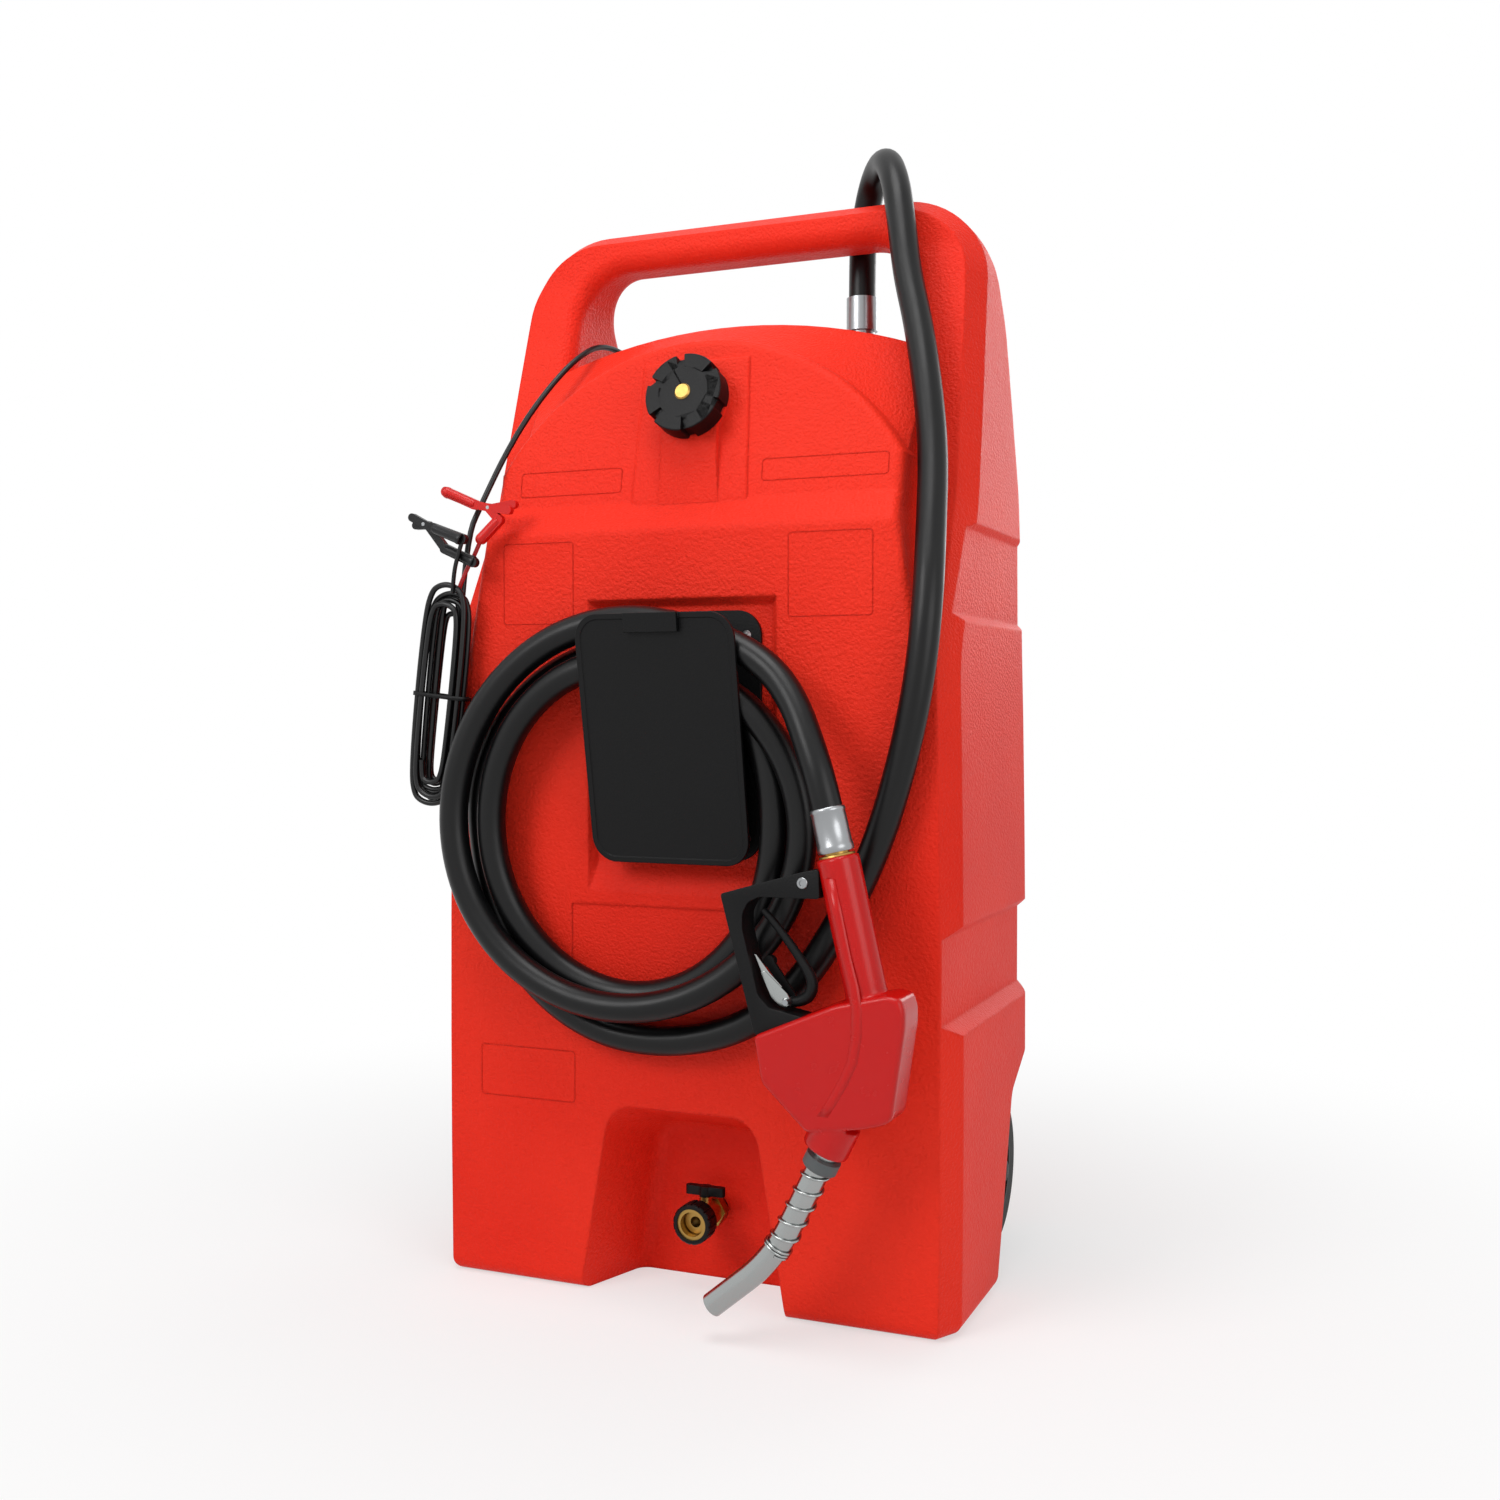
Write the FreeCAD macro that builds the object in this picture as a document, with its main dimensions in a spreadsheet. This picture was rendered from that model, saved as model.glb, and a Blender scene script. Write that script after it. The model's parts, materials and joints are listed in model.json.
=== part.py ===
import FreeCAD, Part
import math
import os
import Sketcher

# A wheeled fuel caddy: a rotomoulded tank with a handle loop, a filler dome, a hose hanger and a drain
# valve, fed by a vane pump on the shelf behind the dome.
# Frame: origin at the centre of the foot on the floor, X to the right of someone who faces the front,
# Y towards the back (the wheels), Z up. Lengths are in millimetres, angles in degrees.

V = FreeCAD.Vector
os.makedirs("parts", exist_ok=True)
doc = FreeCAD.newDocument("fuel_caddy")
sheet = doc.addObject("Spreadsheet::Sheet", "sizes")

# Driving dimensions: alias, value, what it is. "before" is towards the front, "behind" towards the back.
SIZES = [
    # the outer frame of the tank
    ("foot_half", 300, "half width of the foot"),
    ("foot_round", 16, "rounding of the foot's lower edges"),
    ("foot_round_inside", 14, "the same rounding on the inside of the wall"),
    ("waist_half", 298, "half width of the sides at waist height"),
    ("waist_height", 600, "height of the waist"),
    ("shoulder_half", 283, "half width where the top corners begin"),
    ("shoulder_height", 1102, "height where the top corners begin"),
    ("top_corner", 100, "radius of the top corners"),
    ("front_face", 144, "front panel, before the origin"),
    ("rear_face", 178, "back, behind the origin"),
    ("front_break", 690, "height where the frame's front begins to lean back"),
    ("post_foot_front", 57, "front of the posts at their foot, before the origin"),
    ("post_foot_height", 860, "height of the posts' foot"),
    ("bar_front", 18, "front of the handle bar, behind the origin"),
    ("bar_break", 1140, "height where the posts' front turns upright"),
    ("bar_back", 70, "back of the handle bar, behind the origin"),
    ("bar_top", 1198, "height where the bar's back begins to lean"),
    ("back_elbow", 140, "back of the posts at their elbow, behind the origin"),
    ("elbow_height", 1070, "height of that elbow"),
    ("back_break", 880, "height where the back begins to lean forward"),
    ("tank_wall", 6, "thickness of the moulded wall"),
    ("rear_round", 30, "radius of the rear edges"),
    ("front_bevel", 30, "width of the bevel on the front edges, seen from the front"),
    ("bevel_depth", 16, "depth of that bevel"),
    ("post_inner", 207, "half width of the window in the handle loop"),
    ("window_top", 1150, "underside of the handle bar"),
    ("window_corner", 60, "radius of the window's top corners"),
    ("grip_round", 20, "radius of the window's edges, for the hands"),
    ("shelf_height", 900, "pump shelf behind the dome"),
    # front panel and filler dome
    ("panel_foot_half", 264, "half width of the front panel at the floor"),
    ("panel_belt_half", 268, "half width of the front panel at its widest"),
    ("panel_belt", 300, "height where the panel is widest"),
    ("panel_top_half", 262, "half width of the panel under its shoulders"),
    ("panel_shoulder", 700, "height where the panel's shoulders begin"),
    ("dome_half", 236, "half width of the dome's straight sides"),
    ("dome_foot", 842, "height where the dome's straight sides begin"),
    ("dome_radius", 272, "radius of the dome's front outline"),
    ("dome_centre", 761, "height of the centre of that outline"),
    ("ledge_height", 826, "top of the flat front panel"),
    ("ledge_rise", 32, "height of the slope from the panel to the dome"),
    ("dome_setback", 23, "foot of the dome's face, behind the panel"),
    ("dome_lean", 26, "how far the dome's face leans back by its top"),
    ("deck_radius", 650, "radius of the arched deck behind the dome"),
    ("deck_top", 1064, "height of the arched deck at its middle"),
    ("deck_front", 10, "front of the arched deck, before the origin"),
    ("deck_back", 26, "back of the arched deck, behind the origin"),
    ("pad_half", 62, "half width of the raised pad at the top of the dome"),
    ("pad_spread", 7, "how much wider the pad is at its foot, each side"),
    ("pad_proud", 3, "how far the pad stands proud of the dome"),
    # strap bands round the sides
    ("band_depth", 10, "depth of the bands in the sides"),
    ("band_slope", 14, "height of the bands' sloped edges"),
    ("upper_band_low", 732, "lower edge of the upper band"),
    ("upper_band_high", 823, "upper edge of the upper band"),
    ("lower_band_low", 318, "lower edge of the lower band"),
    ("lower_band_high", 405, "upper edge of the lower band"),
    # drain alcove in the foot
    ("alcove_half", 145, "half width of the alcove at the floor"),
    ("alcove_top_half", 85, "half width of the alcove at its top"),
    ("alcove_top", 207, "height of the alcove at the front"),
    ("alcove_back", 50, "back wall of the alcove, before the origin"),
    ("alcove_back_half", 112, "half width of the alcove's back wall at the floor"),
    ("alcove_back_top_half", 66, "half width of the back wall at its top"),
    ("alcove_back_top", 172, "height of the alcove's back wall"),
    ("alcove_corner", 36, "radius of the alcove's top corners"),
    # wheel wells and wheels
    ("well_inner", 218, "inner wall of the wheel wells from the middle"),
    ("well_front", 22, "front of the wells at the floor, behind the origin"),
    ("well_front_top", 90, "front of the wells at the top, behind the origin"),
    ("well_knee", 206, "height where the wells' front wall ends"),
    ("well_top", 246, "height of the wells at the back"),
    ("well_round", 26, "radius of the wells' knee"),
    ("break_round", 120, "radius of the creases in the frame's front and back"),
    ("back_round", 200, "radius of the crease where the back begins to lean"),
    ("bar_round", 60, "radius of the crease under the bar's front"),
    ("post_wall", 10, "wall of the posts beside the window"),
    ("post_hollow_top", 1105, "height where the hollow in the posts ends"),
    ("pad_below_top", 24, "top of the pad, below the dome's top"),
    # filler
    ("cap_tilt", 14, "how far the filler's axis tilts up"),
    ("cap_seat_front", 113.5, "centre of the cap's seat, before the origin"),
    ("cap_seat_height", 964, "height of that centre"),
    ("boss_radius", 41, "radius of the boss under the cap"),
    ("boss_depth", 22, "depth of that boss"),
    ("boss_half", 31, "half width of the boss's skirt at the cap"),
    ("boss_foot_half", 35, "half width of the skirt at the ledge"),
    ("neck_radius", 30, "outer radius of the filler neck"),
    ("neck_length", 13, "length of the neck outside its seat"),
    ("filler_radius", 25, "radius of the filler bore"),
    ("filler_depth", 30, "reach of the filler bore behind its seat"),
    # recess behind the hose hanger and the plain field below it
    ("shoulder_in", 2, "how much deeper the bands' floors stand than the waist"),
    ("alcove_back_round", 16, "rounding between the alcove's walls and its back"),
    ("pocket_low", 470, "lower edge of the hanger recess's floor"),
    ("pocket_high", 744, "upper edge of that floor"),
    ("pocket_half", 102, "half width of that floor"),
    ("pocket_slope", 8, "width of its sloped sides"),
    ("pocket_ramp", 38, "height of the slope below it"),
    ("pocket_depth", 10.5, "depth of the recess"),
    ("panel_cut_over", 2, "how far a cut in the panel begins outside it"),
    ("lower_panel_half", 130, "half width of the plain field under the hanger"),
    ("lower_panel_low", 308, "lower edge of that field"),
    ("lower_panel_high", 424, "upper edge of that field"),
    ("lower_panel_depth", 1.5, "depth of that field"),
    ("wheel_radius", 95, "radius of the wheels"),
    ("wheel_back", 160, "wheel axis behind the origin"),
    ("tyre_width", 40, "width of a tyre"),
    ("tyre_seat", 64, "radius of the tyre's seat on the rim"),
    ("tyre_shoulder", 12, "rounding of the tread's shoulders"),
    ("wheel_inner", 226, "inner face of a tyre from the middle"),
    ("rim_wall", 5, "thickness of the rim's band and web"),
    ("hub_radius", 19, "radius of the wheel's hub"),
    ("hub_length", 50, "length of the wheel's hub"),
    ("spoke_count", 6, "ribs between hub and band"),
    ("axle_radius", 8, "radius of the axle"),
    ("running_gap", 0.08, "radial gap of a wheel on its axle"),
    ("tunnel_gap", 0.2, "radial gap of the axle in the tank's tunnel"),
    ("axle_cap_radius", 13, "radius of the caps on the axle's ends"),
    ("axle_cap_length", 10, "length of those caps"),
    ("side_gap", 0.4, "gap at each side of a hub"),
    ("spoke_edge", 6, "set-back of the ribs from the rim's edges"),
    ("spoke_thickness", 4, "thickness of the ribs"),
    ("cap_depth", 8, "depth of the axle's end caps"),
    # hose hanger
    ("hanger_half", 90, "half width of the hanger's flange and plate"),
    ("flange_low", 476, "lower edge of the flange"),
    ("flange_top", 738, "upper edge of the flange"),
    ("hanger_corner", 27, "radius of the flange's and plate's corners"),
    ("flange_thickness", 4.5, "thickness of the flange"),
    ("core_low", 530, "underside of the core"),
    ("core_high", 660, "top of the core"),
    ("core_half", 50, "half width of the core and radius of its top"),
    ("core_reach", 230, "a length beyond the core's front"),
    ("hanger_wall", 5, "wall of the core"),
    ("plate_low", 473, "lower edge of the front plate"),
    ("plate_top", 733, "upper edge of the front plate"),
    ("plate_height", 260, "height of the front plate, over which it leans"),
    ("plate_lean", 47, "how far the plate's top stands before its foot"),
    ("plate_top_front", 213.5, "front of the plate's top, before the origin"),
    ("plate_thickness", 5, "thickness of the front plate at its rim"),
    ("plate_rim", 6, "width of the plate's raised rim"),
    ("plate_sunk", 1.2, "depth of the plate's field"),
    ("lip_half", 30, "half width of the plate's top lip"),
    ("lip_height", 20, "height of that lip"),
    ("lip_proud", 5, "how far the lip stands out"),
    ("flange_screw_x", 74, "flange screws from the middle"),
    ("flange_screw_low", 500, "height of the lower flange screws"),
    ("flange_screw_high", 712, "height of the upper flange screws"),
    ("screw_shank", 2.5, "radius of a small screw's shank"),
    ("screw_head", 5, "radius of a flange screw's head"),
    ("screw_head_height", 3.2, "height of a small screw's head"),
    ("screw_bite", 5, "how far screws and bolts reach into the tank's wall"),
    # drain valve
    ("drain_height", 78, "height of the drain's axis"),
    ("drain_thread", 10, "radius of the drain's thread"),
    ("drain_hex", 30, "width across the drain's hexagon"),
    ("drain_hex_length", 12, "length of that hexagon"),
    ("seal_thickness", 2.5, "thickness of the drain's seal"),
    ("thread_reach", 18, "reach of the thread into the tank"),
    ("ball_radius", 10, "radius of the drain's ball"),
    ("ball_wall", 4, "wall round the ball"),
    ("ball_gap", 0.3, "gap round the ball"),
    ("drain_bore", 6, "radius of the drain's bore"),
    ("stem_radius", 3, "radius of the ball's stem"),
    ("stem_housing", 7, "radius of the stem's housing"),
    ("stem_housing_top", 21, "top of that housing above the drain's axis"),
    ("pin_gap", 0.06, "radial running gap of small pins and stems"),
    ("tail_radius", 9, "radius of the drain's outlet tail"),
    ("tail_length", 12.5, "length of that tail"),
    ("tail_flange", 12, "radius of the tail's flange"),
    ("tail_flange_width", 4, "width of the tail's flange"),
    ("lever_low", 21.5, "underside of the lever above the drain's axis"),
    ("lever_hub", 7, "radius of the lever's hub"),
    ("lever_hub_height", 11, "height of the lever's hub"),
    ("lever_reach", 23, "reach of the lever's wings"),
    ("wing_width", 9, "width of the lever's wings"),
    ("nut_gap", 3, "gap between the valve's barrel and the collar"),
    ("collar_outer", 22, "outer radius of the swivel collar"),
    ("collar_inner", 17, "inner radius of the swivel collar"),
    ("collar_edge", 2, "bevel of the collar's edges"),
    ("collar_width", 22, "width of the collar"),
    ("groove_radius", 1.2, "radius of the collar's grip grooves"),
    ("groove_count", 16, "grip grooves round the collar"),
    ("nut_bore", 13.3, "radius of the outlet's thread"),
    ("nut_relief", 14.3, "radius of the relief behind the thread, round the tail's flange"),
    ("relief_length", 6, "length of that relief"),
    ("nut_lip", 2, "set-back of the nut inside the collar"),
    # filler cap
    ("cap_outer", 44, "outer radius of the cap over its lugs"),
    ("cap_disc", 38, "radius of the cap between its lugs"),
    ("cap_inner", 30.5, "inner radius of the cap"),
    ("cap_height", 24, "height of the cap above its seat"),
    ("cap_depth_inside", 16, "depth of the cap's inside"),
    ("cap_lift_gap", 0.4, "gap under the cap and its seal"),
    ("cap_edge", 3, "rounding of the cap's edge"),
    ("cap_recess", 26, "radius of the recess in the cap's face"),
    ("cap_recess_depth", 3, "depth of that recess"),
    ("lug_half", 8.5, "half width of a lug"),
    ("lug_round", 4, "rounding of a lug"),
    ("lug_count", 8, "lugs round the cap"),
    ("pin_stem", 3, "radius of the vent pin's stem"),
    ("pin_head", 9, "radius of the vent pin's head"),
    ("pin_proud", 2, "how far the vent pin stands proud of the cap"),
    ("pin_chamfer", 1.5, "bevel of the vent pin's head"),
    # pump
    ("pump_x", 119, "pump's middle, to the right"),
    ("pump_y", 99, "pump's middle, behind the origin"),
    ("pump_axis_height", 68, "height of the pump's axis above the shelf"),
    ("pump_foot_half", 45, "half width of the pump's foot"),
    ("pump_foot_thickness", 10, "thickness of the pump's foot"),
    ("pump_foot_corner", 10, "corner radius of the pump's foot"),
    ("pump_head_radius", 38, "radius of the pump's head"),
    ("pump_head_half", 25, "half length of the pump's head"),
    ("pump_neck", 23, "radius of the pump's inlet neck"),
    ("bung_radius", 24, "radius of the pump's spigot and the hole under it"),
    ("spigot_depth", 12, "depth of the spigot in the shelf"),
    ("outlet_boss", 20, "radius of the outlet boss"),
    ("outlet_top", 130, "top of the outlet boss above the shelf"),
    ("chamber_radius", 30, "radius of the pump's chamber"),
    ("rotor_offset", 5, "how far the chamber's axis lies below the rotor's"),
    ("rotor_radius", 22, "radius of the rotor"),
    ("shaft_radius", 6, "radius of the rotor's shaft"),
    ("pump_back_wall", 8, "wall between chamber and motor"),
    ("vane_thickness", 3, "thickness of a vane"),
    ("vane_foot", 10, "inner end of a vane from the rotor's axis"),
    ("vane_count", 5, "vanes in the rotor"),
    ("pump_bolt_half", 36, "foot bolts from the pump's middle"),
    ("pump_bolt_radius", 4, "radius of a foot bolt"),
    ("pump_bolt_flats", 13, "width across a foot bolt's head"),
    ("pump_bolt_head", 5.5, "height of a foot bolt's head"),
    ("cover_thickness", 6, "thickness of the pump's cover"),
    ("cover_bite", 8, "reach of the cover's screws into the head"),
    ("cover_screw_circle", 34, "radius of the circle of cover screws"),
    ("cover_screw_count", 6, "screws in the cover"),
    ("pump_port", 10, "radius of the pump's ports"),
    ("outlet_thread", 13, "radius of the outlet's thread"),
    ("outlet_thread_depth", 16, "depth of that thread"),
    ("pipe_radius", 14, "radius of the suction pipe"),
    ("pipe_wall", 3, "wall of the suction pipe"),
    ("pipe_seat_depth", 6, "depth of the pipe's seat in the pump's foot"),
    ("pipe_foot", 40, "height of the pipe's lower end"),
    ("strainer_radius", 20, "radius of the strainer"),
    ("strainer_height", 20, "height of the strainer's wide part"),
    ("strainer_foot", 12, "underside of the strainer"),
    ("motor_length", 190, "length of the motor behind the pump"),
    ("motor_radius", 36, "radius of the motor"),
    ("motor_cap_length", 14, "length of the motor's end cap"),
    ("saddle_low", -80, "left end of the motor's saddle"),
    ("saddle_high", -40, "right end of the motor's saddle"),
    ("saddle_half", 28, "half width of the motor's saddle"),
    ("box_low", -85, "left end of the switch box"),
    ("box_high", -15, "right end of the switch box"),
    ("box_half", 25, "half width of the switch box"),
    ("box_height", 32, "height of the switch box"),
    ("box_corner", 4, "rounding of the switch box"),
    ("rocker_half", 11, "half length of the rocker"),
    ("rocker_half_width", 6, "half width of the rocker"),
    ("rocker_depth", 9, "depth of the rocker's well"),
    ("rocker_play", 1.6, "play at the rocker's ends"),
    ("gland_thread", 7, "radius of the cable gland's thread"),
    ("gland_length", 8, "reach of the gland into the box"),
    ("gland_flats", 17, "width across the gland's hexagon"),
    ("gland_hex_length", 8, "length of the gland's hexagon and of its nose"),
    ("fitting_flats", 36, "width across the outlet fitting's hexagon"),
    ("fitting_hex_length", 20, "length of that hexagon"),
    ("fitting_neck_length", 21, "length of the fitting's neck"),
    ("hose_radius", 15.5, "radius of the fuel hose"),
    ("hose_inset", 8, "how far the hose ends stay behind a ferrule's foot"),
    ("ferrule_radius", 18, "outer radius of the ferrules"),
    ("ferrule_length", 38, "length of the ferrules"),
    ("cable_radius", 4, "radius of the power cable"),
    # coil of hose on the hanger
    ("coil_x", -49, "middle of the coil, to the left"),
    ("coil_z", 528, "height of the coil's middle"),
    ("coil_half_width", 209, "half width of the coil"),
    ("coil_half_height", 216, "half height of the coil"),
    ("coil_hole_x", -45.7, "middle of the coil's opening, to the left"),
    ("coil_hole_z", 513.5, "height of the middle of the coil's opening"),
    ("coil_hole_half_width", 147, "half width of the coil's opening"),
    ("coil_hole_half_height", 167.5, "half height of the coil's opening"),
    ("coil_back", 144.8, "back of the coil, before the origin"),
    ("coil_front", 209, "front of the coil, before the origin"),
    ("coil_gap", 1, "gap between the coil and the hanger's plate"),
    # nozzle
    ("nozzle_front", 222, "the nozzle's plane, before the origin"),
    ("grip_lean", 13, "how far the grip leans from upright"),
    ("grip_top_x", 204.9, "top of the grip, to the right"),
    ("grip_top_z", 493.1, "height of the grip's top"),
    ("grip_half", 17, "half thickness of the grip"),
    ("grip_rounding", 13, "rounding of the grip's sides"),
    ("body_half", 23, "half thickness of the nozzle's body"),
    ("body_rounding", 8, "rounding of the body's sides"),
    ("swell_proud", 3, "how far the raised middle of the body stands out"),
    ("swivel_ring", 6, "length of the ring between ferrule and grip"),
    ("swivel_radius", 16, "radius of that ring"),
    ("swivel_stem", 9, "radius of the swivel's stem"),
    ("swivel_bore", 5, "radius of the swivel's bore"),
    ("swivel_seat", 9, "reach of the stem into the ferrule and the grip"),
    ("spout_collar", 18, "radius of the collar at the spout's root"),
    ("spout_collar_length", 13, "length of that collar"),
    ("spout_inset", 14, "reach of the spout into the body"),
    ("spout_radius", 12.5, "outer radius of the spout"),
    ("spout_wall", 2, "wall of the spout"),
    ("spring_wire", 1.4, "radius of the spout spring's wire"),
    ("spring_pitch", 8.5, "pitch of the spout's spring"),
    ("spring_turns", 8, "turns of the spout's spring"),
    ("guard_half", 11, "half thickness of the hand guard"),
    ("guard_bolt", 3.5, "radius of the guard's bolt"),
    ("ear_width", 5, "width of the ears that carry the trigger"),
    ("ear_gap", 0.6, "gap beside trigger and latch"),
    ("trigger_half", 5, "half thickness of the trigger"),
    ("trigger_bar", 5, "half width of the trigger bar"),
    ("trigger_pin", 3, "radius of the trigger's pin"),
    ("latch_width", 4, "thickness of the latch"),
    ("latch_bar", 4.5, "half width of the latch"),
    ("latch_knob", 8, "length of the latch's knob"),
    # cable and clips
    ("hank_x", -284, "middle of the cable's hank, to the left"),
    ("hank_z", 650, "height of the hank's middle"),
    ("hank_half_width", 38, "half width of the hank"),
    ("hank_half_height", 125, "half height of the hank"),
    ("hank_hole_half_width", 16, "half width of the hank's opening"),
    ("hank_hole_half_height", 98, "half height of the hank's opening"),
    ("hank_front", 176, "front of the hank, before the origin"),
    ("hank_back", 148, "back of the hank, before the origin"),
    ("hank_lean", 6.6, "how far the hank leans from upright"),
    ("tie_thickness", 1.6, "thickness of the hank's tie"),
    ("tie_width", 14, "width of the hank's tie"),
    ("lead_radius", 2.6, "radius of the clips' leads"),
    ("clip_half", 7, "half thickness of a clip"),
    ("clip_gap", 0.3, "half the gap between a clip's jaws"),
    ("clip_pin", 2, "radius of a clip's pin"),
    ("sleeve_half", 5.5, "half width of a clip's sleeve"),
    ("jaw_half", 4.5, "half width of a clip's jaw"),
    # what finishes the front body
    ("ledge_round", 16, "rounding of the ledge above the panel"),
    ("front_body_round", 9, "rounding of the front body's edges"),
    ("dome_lap", 4, "how much narrower the dome's back section is"),
    ("dome_lap_drop", 6, "how much lower the shoulder of that section is"),
]

# Shares of another size.
PAD_ROUND_SHARE = 0.9
BAND_SLANT_SHARE = 1.6
BOLT_HEAD_SHARE = 1.7
BOLT_HEIGHT_SHARE = 0.6
KNOB_SHARE = 1.3

# Lengths in mm by which the long edges of the tank are told from the short ones.
LONG_EDGE = 500
DEEP_EDGE = 100


# Routes and outlines, in millimetres. Routes give X, Y and Z; outlines lie in the upright plane of the
# nozzle and give X and Z.
ARC_SHARE = 0.45
HOSE_ROUTE = [
    (119, 99, 1079), (119, 99, 1138), (120, 101, 1190), (137, 85, 1239), (167, 40, 1247), (190, 4, 1208),
    (203, -14, 1150), (213, -28, 1098), (231, -46, 1040), (248, -70, 972), (262, -94, 898), (270, -128, 820),
    (276, -159, 742), (269, -164, 662), (251, -163, 580),
    (227, -163, 502), (190, -162, 425), (140, -161, 350),
    (76, -160.5, 302), (-6, -160, 282), (-86, -160.5, 288), (-155, -161, 325), (-207, -162, 385),
    (-231, -163, 445)]
TAIL_ROUTE = [(66, -183, 706), (113, -187, 689), (151, -200, 650), (172, -213, 603),
              (189.5, -222, 559.8), (201.4, -222, 508.1)]
CABLE_ROUTE = [
    (-92, 99, 1020), (-119, 99, 1020), (-148, 83, 1039),
    (-163, 45, 1060), (-170, -3, 1060), (-178, -42, 1038),
    (-193, -70, 1006), (-211, -95, 966), (-229, -116, 920), (-246, -133, 870), (-262, -149, 820),
    (-270, -158, 764)]
GRIP_OUTLINE = [(183.8, 488.3), (218.8, 336.9), (260.1, 346.5), (226.0, 497.9)]
BODY_OUTLINE = [(126.1, 316.7), (209.8, 355.2), (269.0, 367.0), (280.3, 334.5), (267.0, 245.8),
    (236.4, 234.9), (215.7, 196.5), (169.4, 217.2), (175.3, 228.0), (134.0, 271.4)]
SWELL_OUTLINE = [(149.7, 304.9), (215.7, 332.5), (257.1, 338.4), (263.0, 326.6), (253.2, 259.6),
    (221.7, 245.8), (190.1, 241.8), (150.7, 277.3)]
SPOUT_ROUTE = [(192.1, 200.4), (139.9, 94.0), (71.9, 36.9)]
GUARD_OUTLINE = [(198.0, 461.6), (194.1, 485.2), (173.4, 479.3), (87.6, 453.2), (124.1, 316.2),
    (126.1, 310.8), (168.4, 329.5), (166.5, 341.4), (207.9, 403.4)]
GUARD_GAP = [(166.5, 341.4), (134.9, 333.5), (110.3, 440.9), (166.5, 463.6), (186.2, 461.6),
    (211.8, 403.4), (209.8, 361.1)]
EAR_OUTLINE = [(144.8, 326.6), (166.5, 336.4), (166.5, 354.2), (160.6, 358.1), (151.7, 358.1),
    (144.8, 350.2)]
TRIGGER_PIVOT = (156.6, 350.2)
TRIGGER_ROUTE = [(156.6, 350.2), (176.3, 367.0), (178.3, 383.7), (127.1, 436.9)]
LATCH_ROUTE = [(131.0, 385.7), (156.6, 350.2)]
GUARD_BOLT = (172.4, 469.5)
LEAD_ROUTES = {
    "red": [(-231, -164, 821), (-239, -164, 804), (-251, -163.5, 787), (-262, -163, 764)],
    "black": [(-243, -182, 820), (-249, -183, 801), (-256, -180, 783), (-264, -170, 763)]}
# For each clip: sleeve's outer end, sleeve's inner end and jaw's tip of the piece that carries the lead,
# the same of the other piece, the pin, and how far the clip stands before the origin.
CLIPS = {
    "red": (((-231, 821), (-208, 841), (-196, 851)), ((-280, 876), (-243, 860), (-194, 858)), -221, 855, 160),
    "black": (((-243, 820), (-282, 834), (-307, 846)), ((-234, 795), (-270, 811), (-307, 838)),
              -292, 838, 178)}


class Size:
    """A length together with the sheet formula it comes from, so a sum of sizes can be bound as one."""

    def __init__(self, value, formula):
        self.value = float(value)
        self.formula = formula

    def joined(self, other, sign, value):
        return Size(value, "(" + self.formula + " " + sign + " " + formula_of(other) + ")")

    def __add__(self, other):
        return self.joined(other, "+", self.value + number(other))

    def __sub__(self, other):
        return self.joined(other, "-", self.value - number(other))

    def __mul__(self, other):
        return self.joined(other, "*", self.value * number(other))

    def __truediv__(self, other):
        return self.joined(other, "/", self.value / number(other))

    def __neg__(self):
        return Size(-self.value, "(0 - " + self.formula + ")")

    def __radd__(self, other):
        return Size(other, str(float(other))) + self

    def __rsub__(self, other):
        return Size(other, str(float(other))) - self

    def __rmul__(self, other):
        return Size(other, str(float(other))) * self


def number(value):
    """The plain number of a size or of a number."""
    return value.value if isinstance(value, Size) else float(value)


def formula_of(value):
    """The sheet formula of a size, or a number as text."""
    return value.formula if isinstance(value, Size) else str(float(value))


class Named:
    """Holds every driving dimension under its alias."""


s = Named()
for row, (alias, value, meaning) in enumerate(SIZES, start=1):
    sheet.set("A" + str(row), alias)
    sheet.set("B" + str(row), str(value))
    sheet.set("C" + str(row), meaning)
    sheet.setAlias("B" + str(row), alias)
    setattr(s, alias, Size(value, "sizes." + alias))
doc.recompute()

nodes = {}
RIGHT, BACK, UP = V(1, 0, 0), V(0, 1, 0), V(0, 0, 1)
LEFT, FRONT, DOWN = V(-1, 0, 0), V(0, -1, 0), V(0, 0, -1)
# Planes for outlines: seen from the front (X, Z), from the side (Y, Z) and from above (X, Y).
PLANES = {
    "front": (FreeCAD.Rotation(RIGHT, 90), BACK),
    "side": (FreeCAD.Rotation(V(1, 1, 1), 120), RIGHT),
    "top": (FreeCAD.Rotation(), UP),
}


def point(x, y, z):
    return V(number(x), number(y), number(z))


def bind(thing, prop, size):
    """Set a property from a size and keep it bound to the sheet."""
    setattr(thing, prop, number(size))
    if isinstance(size, Size):
        thing.setExpression(prop, size.formula)


def placed(position, direction):
    """A placement whose own Z axis points along the direction."""
    return FreeCAD.Placement(position, FreeCAD.Rotation(UP, direction))


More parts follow.
